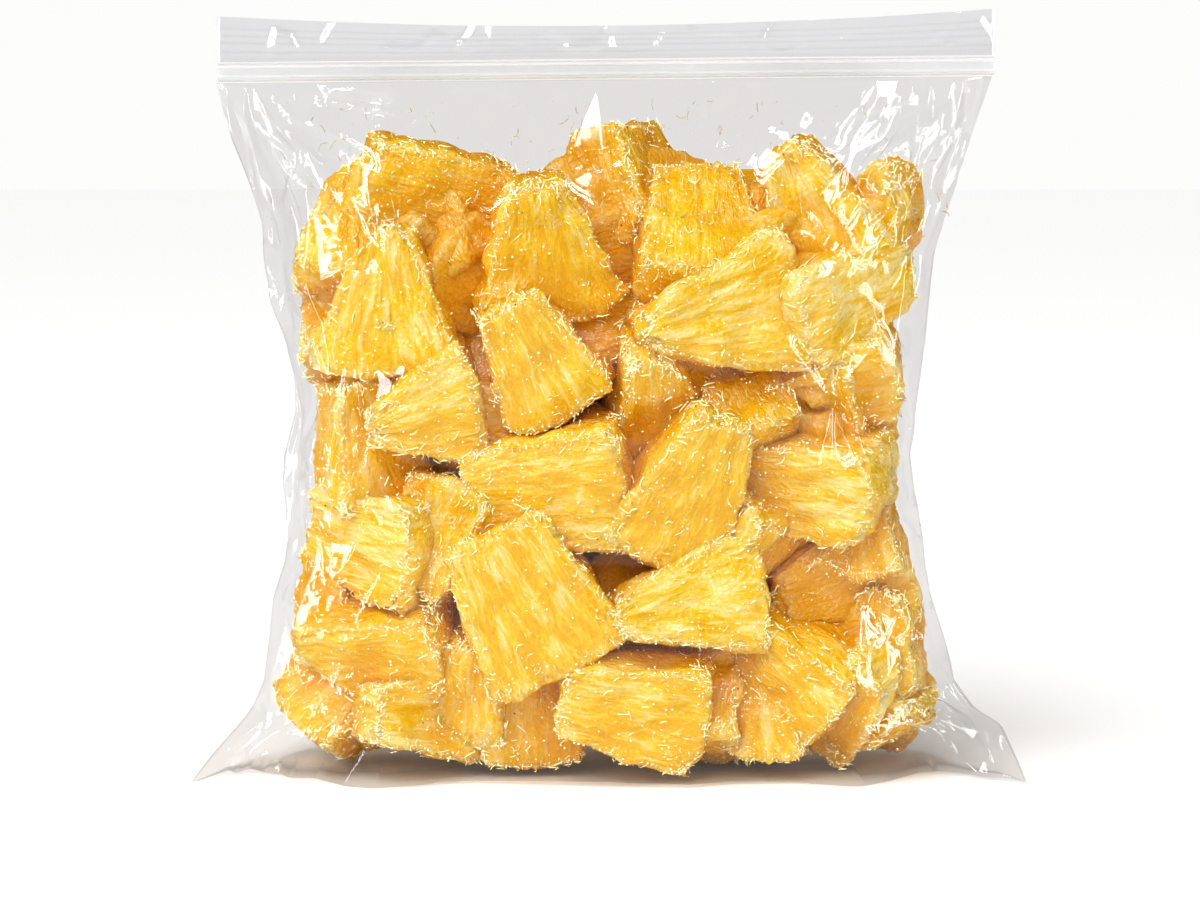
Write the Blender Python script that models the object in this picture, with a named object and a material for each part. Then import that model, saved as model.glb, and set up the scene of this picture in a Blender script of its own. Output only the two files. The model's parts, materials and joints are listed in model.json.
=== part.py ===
"""Clear press-seal bag that stands on its base, full of frozen pineapple chunks.

The object called bag is the outside of the sealed film, drawn tight over the wedges of fruit
that lie against it. Above it the two rails of the press seal interlock, and the two lips of
film that are pulled apart to open the bag stand over the rails. X runs along the seal, the
front faces -Y, and the origin is the middle of the base.
"""

import math

import bpy
import numpy as np

# Driving sizes, in metres. A quart freezer bag is 178 mm wide when it is flat.
SEAL_LENGTH = 0.178
STANDING_HEIGHT = 0.1757
BAG_TOP = 0.1604
HALF_DEPTH = 0.0285
SEAL_TILT = 0.057  # rise of the seal per metre of X, per metre of height
GAP = 0.0003

# Height, half width of the filled part, and half depth.
STATIONS = np.array((
    (0.000, 0.0765, 0.0215),
    (0.006, 0.0785, 0.0240),
    (0.016, 0.0795, 0.0262),
    (0.030, 0.0778, 0.0278),
    (0.050, 0.0725, 0.0285),
    (0.075, 0.0692, 0.0285),
    (0.100, 0.0720, 0.0272),
    (0.122, 0.0745, 0.0235),
    (0.138, 0.0785, 0.0175),
    (0.150, 0.0830, 0.0080),
    (0.1604, 0.0882, 0.0013),
))
WIDTH, DEPTH = 1, 2
# Height, and how far the welded side seam lies from the middle, on the left and on the right.
SEAM_LINE = np.array((
    (0.000, 0.0950, 0.0962),
    (0.004, 0.0918, 0.0950),
    (0.011, 0.0855, 0.0922),
    (0.014, 0.0834, 0.0865),
    (0.020, 0.0808, 0.0822),
    (0.030, 0.0794, 0.0797),
    (0.040, 0.0783, 0.0765),
    (0.049, 0.0750, 0.0745),
    (0.055, 0.0738, 0.0737),
    (0.068, 0.0754, 0.0716),
    (0.074, 0.0752, 0.0706),
    (0.084, 0.0728, 0.0718),
    (0.091, 0.0730, 0.0729),
    (0.099, 0.0745, 0.0740),
    (0.110, 0.0780, 0.0751),
    (0.120, 0.0796, 0.0762),
    (0.128, 0.0798, 0.0785),
    (0.136, 0.0820, 0.0812),
    (0.145, 0.0850, 0.0840),
    (0.1535, 0.0876, 0.0868),
    (0.1604, 0.0890, 0.0888),
))
SECTION_POWER = 3.4  # above 2, a level section is boxier than an ellipse
SEAM_HALF_THICKNESS = 0.0006
EAR_ROOT_THICKNESS = 0.0085  # half thickness of the bottom corner where it leaves the fruit
EAR_HEIGHT = 0.024
EAR_FORWARD = 0.0237  # the bottom corners stick out to the front by this much
EAR_ROOT = 0.074
EAR_START = 0.86  # share of the filled half width where an ear starts to thin out
EAR_FADE = 0.8  # how an ear thins with height, as a power
EAR_PUFF = 0.6  # how much fuller an ear is half way out

# The base stands on a low line at each side and is drawn up a little between them and past them.
BASE_LIFT = 0.0012
BASE_FADE = 0.012
FOOT_SHARE = 0.25 + 0.5 * math.sin(math.pi / 4)  # place of the line, as a share of the way to the seam

# The fruit ends in a heap that is highest in the middle, and the film above it is empty.
PILE_TOP = 0.146
PILE_FALL = 0.35
PILE_POWER = 1.4
HEAD_FADE = 0.014

# Fruit. Each front wedge: X, height, length, rind width, tip width, turn of the tip in
# degrees from +X, and how far it lies behind the wedges that touch the film.
FRONT_WEDGES = (
    (-0.0407, 0.1350, 0.034, 0.024, 0.018, 162, 0.000),
    (-0.0640, 0.1270, 0.028, 0.026, 0.014, 80, 0.003),
    (-0.0148, 0.1230, 0.032, 0.038, 0.013, 98, 0.000),
    (0.0040, 0.1365, 0.026, 0.026, 0.014, 100, 0.008),
    (0.0210, 0.1240, 0.030, 0.031, 0.020, 88, 0.004),
    (0.0470, 0.1330, 0.027, 0.031, 0.009, 112, 0.000),
    (0.0680, 0.1290, 0.026, 0.022, 0.009, 60, 0.004),
    (-0.0485, 0.1120, 0.033, 0.037, 0.010, 88, 0.000),
    (-0.0625, 0.1040, 0.027, 0.026, 0.014, 200, 0.005),
    (-0.0165, 0.0998, 0.029, 0.029, 0.015, 116, 0.000),
    (-0.0030, 0.1040, 0.027, 0.024, 0.016, 10, 0.013),
    (0.0240, 0.1075, 0.037, 0.037, 0.010, 193, 0.000),
    (0.0100, 0.0920, 0.029, 0.027, 0.011, 100, 0.006),
    (0.0582, 0.1130, 0.033, 0.025, 0.018, 18, 0.003),
    (0.0575, 0.0915, 0.034, 0.025, 0.014, 200, 0.004),
    (-0.0425, 0.0870, 0.025, 0.030, 0.008, 195, 0.000),
    (-0.0590, 0.0790, 0.029, 0.027, 0.010, 108, 0.003),
    (-0.0137, 0.0690, 0.036, 0.031, 0.022, 186, 0.000),
    (0.0186, 0.0700, 0.037, 0.034, 0.014, 68, 0.000),
    (0.0300, 0.0860, 0.024, 0.024, 0.013, 100, 0.009),
    (0.0515, 0.0690, 0.033, 0.025, 0.020, 178, 0.001),
    (-0.0564, 0.0560, 0.029, 0.027, 0.020, 170, 0.001),
    (-0.0375, 0.0550, 0.027, 0.023, 0.012, 250, 0.006),
    (-0.0185, 0.0435, 0.036, 0.036, 0.025, 116, 0.000),
    (0.0172, 0.0412, 0.034, 0.031, 0.009, 192, 0.000),
    (0.0325, 0.0550, 0.025, 0.024, 0.014, 30, 0.010),
    (0.0560, 0.0420, 0.033, 0.029, 0.019, 205, 0.000),
    (-0.0535, 0.0330, 0.033, 0.025, 0.017, 182, 0.002),
    (0.0438, 0.0270, 0.029, 0.027, 0.015, 146, 0.002),
    (0.0055, 0.0160, 0.033, 0.029, 0.017, 168, 0.001),
    (0.0238, 0.0185, 0.026, 0.021, 0.014, 82, 0.008),
    (0.0575, 0.0150, 0.029, 0.025, 0.013, 48, 0.002),
    (0.0378, 0.0110, 0.023, 0.021, 0.007, 90, 0.008),
    (-0.0305, 0.0225, 0.025, 0.024, 0.014, 80, 0.007),
    (-0.0175, 0.0150, 0.025, 0.025, 0.017, 92, 0.009),
    (-0.0680, 0.0420, 0.022, 0.020, 0.010, 100, 0.008),
    (-0.0670, 0.0180, 0.027, 0.023, 0.012, 46, 0.004),
    (0.0700, 0.0320, 0.024, 0.020, 0.010, 88, 0.008),
    (0.0710, 0.0140, 0.022, 0.020, 0.008, 2, 0.005),
    (-0.0238, 0.0830, 0.025, 0.025, 0.014, 0, 0.011),
    (-0.0460, 0.0130, 0.029, 0.026, 0.012, 178, 0.003),
    (0.0680, 0.0900, 0.022, 0.020, 0.010, 80, 0.009),
    (0.0690, 0.0570, 0.021, 0.020, 0.009, 92, 0.008),
)
BACK_ROWS = (0.016, 0.040, 0.063, 0.086, 0.107, 0.126)  # heights of the wedges at the back
BACK_COLUMNS = 5
BACK_MARGIN = 0.013  # from the side of the filled part to the outermost wedge's middle
BACK_JITTER = 0.003
SMALLEST_CUT = (0.028, 0.027, 0.010)  # length, rind width and tip width
LARGEST_CUT = (0.035, 0.035, 0.020)
MOST_SUNK = 0.004
THICKNESS = (0.018, 0.025)  # thinnest and thickest slice that the wedges are cut from
FRONT_TILT_DEG = 9.0  # usual lean out of the plane of the film where a slice face touches it
TILT_DEG = 25.0  # usual lean of the other wedges
MOST_TILT_SHARE = 1.6  # the most that a wedge leans, as a share of the usual lean
RIND_BULGE = 0.0022
EDGE_POWER = 9.0  # how crisp the cut edges are
CUBE_POINTS = 15  # points along the edge of the cube that a wedge's surface is made from
WALL_CLEARANCE = 0.0006
PROUD_SHARE = 12  # percent of a wedge's surface that may press the film out past the plain bag
MOST_PROUD = 0.004
SEAM_SLOPE = 3.0  # the film runs in to the side seam no steeper than this
BACK_SEED = 11
TILT_SEED = 5

# The film rolls over the fruit like a sheet that bends no tighter than SPAN_RADIUS.
CELL = 0.001
SPAN_RADIUS = 0.003
SPAN_REACH = 0.014
DEEP = -0.02
RASTER_HALF_WIDTH = 0.1
SMOOTHING_PASSES = 4
SLACK_SHARE = 0.50  # the film sinks between wedges to no less than this share of the shell
SIDE_SHARE = 0.80  # and to no less than this at the sides
FULL_SHARE = 0.8  # parts of a sheet deeper than this share of its depth are drawn out to HALF_DEPTH

# Faces along the seal and up the bag, on each of its two sheets.
COLUMNS = 64
ROWS = 38
# The sheets wave to and fro near the seal: how far, radians along the seal, and phase.
WAVES = ((-0.0011, 11.0, 0.6), (0.00066, 23.0, 0.0))
WAVE_START = 0.14
WELD_DISTANCE = 0.00002
SHARP_DEG = 35
ROUGHNESS = 0.22

# Press seal. A rail is a plate with two beads outside. The front one has a rib with a head,
# which snaps into the groove of the back one. X of the outline is depth, from the middle plane.
RAIL_HEIGHT = 0.0042
RAIL_INNER = 0.0006
RAIL_OUTER = 0.0013
BEAD_HEIGHTS = (0.0011, 0.0033)
BEAD_RADIUS = 0.0004
BEAD_POINTS = 5
RIB_ROOT, RIB_HEAD = 0.0005, 0.0007  # half heights of the rib's neck and of its head
RIB_NECK_END, RIB_SHOULDER, RIB_TIP = 0.0002, 0.0004, 0.0009
GROOVE_NECK, GROOVE_SHOULDER, GROOVE_END = 0.0001, 0.0008, 0.0013
RAIL_STEPS = 18
LIP_FILM = 0.0005
LIP_HEIGHT = 0.011
LIP_FLARE = 0.0012
FLARE_TURNS = 9.0  # radians along the seal over which a lip's flare comes and goes
LIP_SAG = 0.0030
LIP_RIBS = (0.35, 0.55, 0.75)
RIB_PROUD = 0.0002
RIB_HALF_HEIGHT = 0.0004
LIP_COLUMNS = 20
LIP_ROWS = 12

FRUIT_COLOUR = (0.87, 0.58, 0.12, 1.0)
RAIL_COLOUR = (0.86, 0.86, 0.88, 1.0)
LIP_COLOUR = (0.80, 0.80, 0.83, 1.0)


def station(z, column):
    """One column of STATIONS at the heights z, as a cubic Hermite curve with central slopes."""
    heights, values = STATIONS[:, 0], STATIONS[:, column]
    slopes = np.gradient(values, heights)
    i = np.clip(np.searchsorted(heights, z) - 1, 0, len(heights) - 2)
    step = heights[i + 1] - heights[i]
    t = np.clip((z - heights[i]) / step, 0.0, 1.0)
    return (
        (1 + 2 * t) * (1 - t) ** 2 * values[i]
        + t * (1 - t) ** 2 * step * slopes[i]
        + t * t * (3 - 2 * t) * values[i + 1]
        + t * t * (t - 1) * step * slopes[i + 1]
    )


def shell_depth(x, z):
    """Depth of the taut, plain bag from its middle plane: a superellipse at each height."""
    share = np.clip(np.abs(x) / station(z, WIDTH), 0.0, 1.0)
    return station(z, DEPTH) * (1 - share**SECTION_POWER) ** (1 / SECTION_POWER)


def seam_reach(x, z):
    """How far the seam lies from the middle at height z, on the side where x is."""
    left, right = (np.interp(z, SEAM_LINE[:, 0], SEAM_LINE[:, side]) for side in (1, 2))
    return np.where(x < 0, left, right)


def seam_wave(x):
    """How far the sheets stand off the middle plane at the seal, towards +Y."""
    return sum(size * np.sin(x / SEAL_LENGTH * turns + phase) for size, turns, phase in WAVES)


def middle_bend(x, z):
    """How far the plane between the sheets bends towards +Y, at the seal and at the ears."""
    top = np.clip((z - WAVE_START) / (BAG_TOP - WAVE_START), 0, 1)
    out = np.clip((np.abs(x) - EAR_ROOT) / (SEAM_LINE[0, 2] - EAR_ROOT), 0, 1)
    low = np.clip(1 - z / EAR_HEIGHT, 0, 1)
    return seam_wave(x) * top * top - EAR_FORWARD * out * out * low


def base_lift(share, z):
    """How far the base is drawn up: straight slopes from the two low lines that it stands on."""
    return BASE_LIFT * np.abs(np.abs(share) / FOOT_SHARE - 1) * np.clip(1 - z / BASE_FADE, 0, 1)


def cube_points(n):
    """Points on the surface of the cube from -1 to 1, n by n on each of its six faces."""
    line = np.linspace(-1, 1, n)
    p, q = (grid.ravel() for grid in np.meshgrid(line, line))
    faces = []
    for axis in range(3):
        for end in (-1.0, 1.0):
            faces.append(np.insert(np.stack((p, q), 1), axis, end, axis=1))
    return np.concatenate(faces)


def turned(points, axis, angle):
    """Points turned about one coordinate axis by an angle in radians."""
    a, b = (axis + 1) % 3, (axis + 2) % 3
    out = points.copy()
    out[:, a] = points[:, a] * math.cos(angle) - points[:, b] * math.sin(angle)
    out[:, b] = points[:, a] * math.sin(angle) + points[:, b] * math.cos(angle)
    return out


def wedge_points(cube, length, rind, tip, thickness):
    """A wedge of fruit: a cube with rounded edges, drawn out to the tip and bulged at the rind."""
    p, q, s = (cube / np.linalg.norm(cube, ord=EDGE_POWER, axis=1)[:, None]).T
    to_tip = (p + 1) / 2
    along = p * length / 2 - RIND_BULGE * (1 - q * q) * (1 - to_tip)
    across = q * (rind + (tip - rind) * to_tip) / 2
    return np.stack((along, across, s * thickness / 2), 1)


def wedge_list():
    """Every wedge with its thickness, its two tilts, and its side: -1 in front, 1 behind."""
    chance = np.random.default_rng(BACK_SEED)
    rows = [(*wedge, -1) for wedge in FRONT_WEDGES]
    for i, z in enumerate(BACK_ROWS):
        half = station(np.array([z]), WIDTH)[0] - BACK_MARGIN
        for j in range(BACK_COLUMNS):
            x = half * (2 * (j + 0.25 + 0.5 * (i % 2)) / (BACK_COLUMNS - 0.5) - 1)
            jitter = chance.uniform(-BACK_JITTER, BACK_JITTER, 2)
            length, rind, tip = chance.uniform(SMALLEST_CUT, LARGEST_CUT)
            turn, sunk = chance.uniform((0, 0), (360, MOST_SUNK))
            rows.append((x + jitter[0], z + jitter[1], length, rind, tip, turn, sunk, 1))
    chance = np.random.default_rng(TILT_SEED)
    found = []
    for row in rows:
        thickness = chance.uniform(*THICKNESS)
        usual = FRONT_TILT_DEG if row[6] == 0 else TILT_DEG
        tilts = usual * np.clip(chance.normal(0, 1, 2), -MOST_TILT_SHARE, MOST_TILT_SHARE)
        found.append((*row, thickness, *np.radians(tilts)))
    return found


def placed_wedge(cube, wedge):
    """A wedge's points in place, pressed out from the middle until one meets the film."""
    x, z, length, rind, tip, turn, sunk, side, thickness, nod, roll = wedge
    points = wedge_points(cube, length, rind, tip, thickness)
    points = turned(turned(points, 1, nod), 0, roll)
    points = turned(points, 2, math.radians(turn))
    out = np.stack((points[:, 0] + x, points[:, 2], points[:, 1] + z), 1)
    out[:, 2] += max(0.0, WALL_CLEARANCE - out[:, 2].min())
    room = station(out[:, 2], WIDTH) - 2 * WALL_CLEARANCE
    out[:, 0] -= max(0.0, (out[:, 0] - room).max())
    out[:, 0] += max(0.0, (-out[:, 0] - room).max())
    spare = shell_depth(out[:, 0], out[:, 2]) - out[:, 1]
    out[:, 1] += np.percentile(spare, PROUD_SHARE) - WALL_CLEARANCE - sunk
    out[:, 1] -= max(0.0, out[:, 1].max() - HALF_DEPTH + 2 * WALL_CLEARANCE)
    out[:, 1] *= side
    return out


def rolled(depth, reach, sign):
    """A parabola of radius SPAN_RADIUS slid over the raster: sign 1 grows it, -1 shrinks it."""
    steps = int(reach / CELL)
    best = np.maximum if sign > 0 else np.minimum
    for axis in (0, 1):
        padded = np.pad(depth, [(steps, steps) if k == axis else (0, 0) for k in (0, 1)], "edge")
        out = depth.copy()
        for k in range(-steps, steps + 1):
            part = np.take(padded, np.arange(depth.shape[axis]) + steps + k, axis)
            out = best(out, part - sign * (k * CELL) ** 2 / (2 * SPAN_RADIUS))
        depth = out
    return depth


def smoothed(depth, passes):
    """The raster after this many passes of a one, two, one filter each way."""
    for _ in range(passes):
        for axis in (0, 1):
            padded = np.pad(depth, [(1, 1) if k == axis else (0, 0) for k in (0, 1)], "edge")
            n = np.arange(depth.shape[axis])
            depth = sum(
                weight * np.take(padded, n + k, axis) for k, weight in enumerate((0.25, 0.5, 0.25))
            )
    return depth


def film_depth(side):
    """Raster of how far one sheet stands from the middle plane, and its X and height lines."""
    xs = np.arange(-RASTER_HALF_WIDTH, RASTER_HALF_WIDTH + CELL / 2, CELL)
    zs = np.arange(0.0, BAG_TOP + 2 * CELL, CELL)
    fruit = np.full((len(zs), len(xs)), DEEP)
    cube = cube_points(CUBE_POINTS)
    for wedge in wedge_list():
        points = placed_wedge(cube, wedge)
        row = np.clip(np.rint(points[:, 2] / CELL).astype(int), 0, len(zs) - 1)
        column = np.rint((points[:, 0] - xs[0]) / CELL).astype(int)
        np.maximum.at(fruit, (row, column), points[:, 1] * side)
    over = rolled(rolled(fruit, SPAN_REACH, 1), SPAN_REACH, -1)
    x, z = np.meshgrid(xs, zs)
    shell = shell_depth(x, z)
    pile_top = PILE_TOP - PILE_FALL * np.abs(x) ** PILE_POWER
    head = np.clip((z - pile_top) / HEAD_FADE + 0.5, 0, 1)
    middle = 1 - np.clip(np.abs(x) / station(z, WIDTH), 0, 1) ** 4
    slack = SIDE_SHARE - (SIDE_SHARE - SLACK_SHARE) * middle
    depth = np.clip(over + WALL_CLEARANCE, slack * shell, shell + MOST_PROUD)
    depth = np.minimum(depth, SEAM_SLOPE * np.clip(seam_reach(x, z) - np.abs(x), 0, 1))
    depth = np.maximum(depth, shell * head * head * (3 - 2 * head))
    return smoothed(np.maximum(depth, 0), SMOOTHING_PASSES), xs, zs


def read_raster(raster, xs, zs, x, z):
    """The raster between its cells, by weights of the four cells round each point."""
    i = np.clip((z - zs[0]) / CELL, 0, len(zs) - 1.001)
    j = np.clip((x - xs[0]) / CELL, 0, len(xs) - 1.001)
    i0, j0 = i.astype(int), j.astype(int)
    u, v = i - i0, j - j0
    low = raster[i0, j0] * (1 - v) + raster[i0, j0 + 1] * v
    high = raster[i0 + 1, j0] * (1 - v) + raster[i0 + 1, j0 + 1] * v
    return low * (1 - u) + high * u


def seam_thickness(x, z, reach):
    """Half thickness of the flat seam, and of the puffed corner ears near the base."""
    inner = EAR_START * station(z, WIDTH)
    out = np.clip((np.abs(x) - inner) / (reach - inner), 0, 1)
    ear = EAR_ROOT_THICKNESS * np.clip(1 - z / EAR_HEIGHT, 0, 1) ** EAR_FADE
    return SEAM_HALF_THICKNESS + ear * (1 - out) * (1 + EAR_PUFF * np.sin(math.pi * out) * (out < 1))


def sheet_points(side):
    """Grid of points on one sheet of the bag, from the base up and from seam to seam."""
    raster, xs, zs = film_depth(side)
    s = np.linspace(-1, 1, COLUMNS + 1)
    u = 0.5 * s + 0.5 * np.sin(s * math.pi / 2)
    level = np.linspace(0, 1, ROWS + 1)
    u, z = np.meshgrid(u, BAG_TOP * level)
    reach = seam_reach(u, z)
    x = u * reach
    depth = np.maximum(read_raster(raster, xs, zs, x, z), seam_thickness(x, z, reach))
    depth[:, [0, -1]] = 0.0
    base = depth.max()
    depth *= 1 + (HALF_DEPTH / base - 1) * np.clip((depth / base - FULL_SHARE) / (1 - FULL_SHARE), 0, 1)
    height = z * (1 + SEAL_TILT * x) + base_lift(u, z)
    return np.stack((x, side * depth + middle_bend(x, z), height), 2)


def grid_faces(rows, columns, first, flip):
    """Quads of a grid of points numbered row by row from first."""
    i, j = (g.ravel() for g in np.meshgrid(np.arange(rows), np.arange(columns), indexing="ij"))
    a = first + i * (columns + 1) + j
    quads = np.stack((a, a + 1, a + columns + 2, a + columns + 1), 1)
    return quads[:, ::-1] if flip else quads


def paired_sheets(name, front, back, colour):
    """A closed solid from two grids: the front sheet, the back sheet, and walls round them."""
    rows, columns = front.shape[0] - 1, front.shape[1] - 1
    count = front.shape[0] * front.shape[1]
    faces = [grid_faces(rows, columns, 0, False), grid_faces(rows, columns, count, True)]
    index = np.arange(count).reshape(rows + 1, columns + 1)
    rim = np.concatenate((index[0], index[1:, -1], index[-1, -2::-1], index[-2:0:-1, 0], index[0, :1]))
    a, b = rim[:-1], rim[1:]
    faces.append(np.stack((b, a, a + count, b + count), 1))
    points = np.concatenate((front.reshape(-1, 3), back.reshape(-1, 3)))
    mesh = bpy.data.meshes.new(name)
    mesh.from_pydata(points.tolist(), [], np.concatenate(faces).tolist())
    return finished(name, mesh, colour)


def finished(name, mesh, colour):
    """Links a mesh as a named object, welded, shaded smooth and with its own material."""
    obj = bpy.data.objects.new(name, mesh)
    bpy.context.scene.collection.objects.link(obj)
    weld = obj.modifiers.new("weld", "WELD")
    weld.merge_threshold = WELD_DISTANCE
    material = bpy.data.materials.new(name)
    material.use_nodes = True
    shader = material.node_tree.nodes["Principled BSDF"]
    shader.inputs["Base Color"].default_value = colour
    shader.inputs["Roughness"].default_value = ROUGHNESS
    shader.inputs["Metallic"].default_value = 0.0
    mesh.materials.append(material)
    mesh.shade_smooth()
    mesh.set_sharp_from_angle(angle=math.radians(SHARP_DEG))
    return obj


def seal_line(x, above):
    """Y and Z of the line of the seal at X, this far above the top of the filled bag."""
    return seam_wave(x), (BAG_TOP + above) * (1 + SEAL_TILT * x)


def extruded_rail(name, outline, colour):
    """A rail: an outline in depth and height, carried along the wavy line of the seal."""
    x = np.linspace(-SEAL_LENGTH / 2, SEAL_LENGTH / 2, RAIL_STEPS + 1)
    y, z = seal_line(x, GAP)
    outline = np.array(outline)
    points = np.stack(
        (
            np.repeat(x, len(outline)),
            (y[:, None] + outline[None, :, 0]).ravel(),
            (z[:, None] + outline[None, :, 1]).ravel(),
        ),
        1,
    )
    n = len(outline)
    faces = []
    for i in range(RAIL_STEPS):
        for j in range(n):
            a, b = i * n + j, i * n + (j + 1) % n
            faces.append((a, b, b + n, a + n))
    faces.append(tuple(range(n - 1, -1, -1)))
    faces.append(tuple(range(RAIL_STEPS * n, (RAIL_STEPS + 1) * n)))
    mesh = bpy.data.meshes.new(name)
    mesh.from_pydata(points.tolist(), [], faces)
    return finished(name, mesh, colour)


def bead(centre, side):
    """A half-round bead on a rail's outer face, listed from its foot to its head."""
    angles = np.linspace(-math.pi / 2, math.pi / 2, BEAD_POINTS)
    return [
        (side * (RAIL_OUTER + BEAD_RADIUS * math.cos(a)), centre + BEAD_RADIUS * math.sin(a))
        for a in angles
    ]


def press_seal():
    """The two rails of the seal. The front one's rib sits in the groove of the back one."""
    low_bead, high_bead = BEAD_HEIGHTS
    middle = RAIL_HEIGHT / 2
    front = [(-RAIL_INNER, 0.0), (-RAIL_INNER, middle - RIB_ROOT)]
    front += [(RIB_NECK_END, middle - RIB_ROOT), (RIB_SHOULDER, middle - RIB_HEAD)]
    front += [(RIB_TIP, middle), (RIB_SHOULDER, middle + RIB_HEAD)]
    front += [(RIB_NECK_END, middle + RIB_ROOT), (-RAIL_INNER, middle + RIB_ROOT)]
    front += [(-RAIL_INNER, RAIL_HEIGHT), (-RAIL_OUTER, RAIL_HEIGHT)]
    front += bead(high_bead, -1)[::-1] + bead(low_bead, -1)[::-1] + [(-RAIL_OUTER, 0.0)]
    slot = RIB_HEAD + GAP
    jaw = -RAIL_INNER + GAP
    mouth = RIB_ROOT + GAP
    back = [(RAIL_OUTER, 0.0)] + bead(low_bead, 1) + bead(high_bead, 1)
    back += [(RAIL_OUTER, RAIL_HEIGHT), (jaw, RAIL_HEIGHT), (jaw, middle + mouth)]
    back += [(GROOVE_NECK, middle + slot), (GROOVE_SHOULDER, middle + slot)]
    back += [(GROOVE_END, middle), (GROOVE_SHOULDER, middle - slot)]
    back += [(GROOVE_NECK, middle - slot), (jaw, middle - mouth), (jaw, 0.0)]
    extruded_rail("seal_rail_front", front, RAIL_COLOUR)
    extruded_rail("seal_rail_back", back, RAIL_COLOUR)


def lip(name, side):
    """A lip: film that stands over the rails, flares outwards and has ribs to grip."""
    u = np.linspace(-SEAL_LENGTH / 2, SEAL_LENGTH / 2, LIP_COLUMNS + 1)
    t = np.linspace(0, 1, LIP_ROWS + 1)
    x, t = np.meshgrid(u, t)
    y, low = seal_line(x, 2 * GAP + RAIL_HEIGHT)
    span = (x / (SEAL_LENGTH / 2)) ** 2
    high = STANDING_HEIGHT * (1 + SEAL_TILT * x) - LIP_SAG * (1 - span)
    z = low + (high - low) * t
    ribs = np.zeros_like(t)
    for at in LIP_RIBS:
        ribs = ribs + RIB_PROUD * np.exp(-(((t - at) * LIP_HEIGHT / RIB_HALF_HEIGHT) ** 2))
    flare = LIP_FLARE * t * t * (0.6 + 0.4 * np.sin(x / SEAL_LENGTH * FLARE_TURNS + side))
    inner = np.stack((x, y + side * (GAP / 2 + flare), z), 2)
    outer = np.stack((x, y + side * (GAP / 2 + flare + LIP_FILM + ribs), z), 2)
    front, back = (outer, inner) if side < 0 else (inner, outer)
    return paired_sheets(name, front, back, LIP_COLOUR)


def main():
    for old in list(bpy.data.objects):
        bpy.data.objects.remove(old)
    paired_sheets("bag", sheet_points(-1), sheet_points(1), FRUIT_COLOUR)
    press_seal()
    lip("lip_front", -1)
    lip("lip_back", 1)


main()
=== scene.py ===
"""Looks of a clear press-seal bag that stands upright, packed with frozen pineapple chunks.

Metres, +Z up. The front faces -Y and the origin is the middle of the base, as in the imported
model. The fruit comes first, then the film drawn over it, the frost and torn fibres on the
fruit, the juice inside the film, the press seal and its two lips, and last the floor, the lights
and the camera.
"""

import json
import math

import bpy
import numpy as np
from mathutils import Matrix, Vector

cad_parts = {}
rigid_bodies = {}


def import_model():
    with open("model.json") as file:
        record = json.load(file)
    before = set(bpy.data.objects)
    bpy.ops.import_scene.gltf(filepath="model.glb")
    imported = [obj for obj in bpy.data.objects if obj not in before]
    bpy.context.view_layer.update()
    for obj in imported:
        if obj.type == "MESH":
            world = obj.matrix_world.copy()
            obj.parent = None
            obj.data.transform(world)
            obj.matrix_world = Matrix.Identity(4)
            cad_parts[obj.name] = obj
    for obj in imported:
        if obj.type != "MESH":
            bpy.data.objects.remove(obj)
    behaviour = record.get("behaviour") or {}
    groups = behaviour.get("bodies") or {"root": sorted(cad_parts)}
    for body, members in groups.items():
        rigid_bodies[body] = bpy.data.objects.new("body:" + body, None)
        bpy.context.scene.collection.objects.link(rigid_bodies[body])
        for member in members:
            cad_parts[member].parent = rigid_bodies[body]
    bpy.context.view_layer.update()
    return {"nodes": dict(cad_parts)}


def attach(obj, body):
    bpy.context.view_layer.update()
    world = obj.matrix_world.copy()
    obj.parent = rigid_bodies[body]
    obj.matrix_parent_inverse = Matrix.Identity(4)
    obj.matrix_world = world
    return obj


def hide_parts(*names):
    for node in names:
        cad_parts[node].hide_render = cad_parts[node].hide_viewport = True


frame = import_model()


# Pineapple wedges. Each is cut from a peeled ring of fruit with a knife and frozen loose. It has
# a broad rind side, a narrow core side, two slice faces where the fibres fan out from the core,
# and two cuts along the fibres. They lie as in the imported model.

# Height, half width of the filled part, and half depth.
STATIONS = np.array((
    (0.000, 0.0765, 0.0215),
    (0.006, 0.0785, 0.0240),
    (0.016, 0.0795, 0.0262),
    (0.030, 0.0778, 0.0278),
    (0.050, 0.0725, 0.0285),
    (0.075, 0.0692, 0.0285),
    (0.100, 0.0720, 0.0272),
    (0.122, 0.0745, 0.0235),
    (0.138, 0.0785, 0.0175),
    (0.150, 0.0830, 0.0080),
    (0.1604, 0.0882, 0.0013),
))
WIDTH, DEPTH = 1, 2
# Height, and how far the welded side seam lies from the middle, on the left and on the right.
SEAM_LINE = np.array((
    (0.000, 0.0950, 0.0962),
    (0.004, 0.0918, 0.0950),
    (0.011, 0.0855, 0.0922),
    (0.014, 0.0834, 0.0865),
    (0.020, 0.0808, 0.0822),
    (0.030, 0.0794, 0.0797),
    (0.040, 0.0783, 0.0765),
    (0.049, 0.0750, 0.0745),
    (0.055, 0.0738, 0.0737),
    (0.068, 0.0754, 0.0716),
    (0.074, 0.0752, 0.0706),
    (0.084, 0.0728, 0.0718),
    (0.091, 0.0730, 0.0729),
    (0.099, 0.0745, 0.0740),
    (0.110, 0.0780, 0.0751),
    (0.120, 0.0796, 0.0762),
    (0.128, 0.0798, 0.0785),
    (0.136, 0.0820, 0.0812),
    (0.145, 0.0850, 0.0840),
    (0.1535, 0.0876, 0.0868),
    (0.1604, 0.0890, 0.0888),
))
SECTION_POWER = 3.4
HALF_DEPTH = 0.0285

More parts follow.
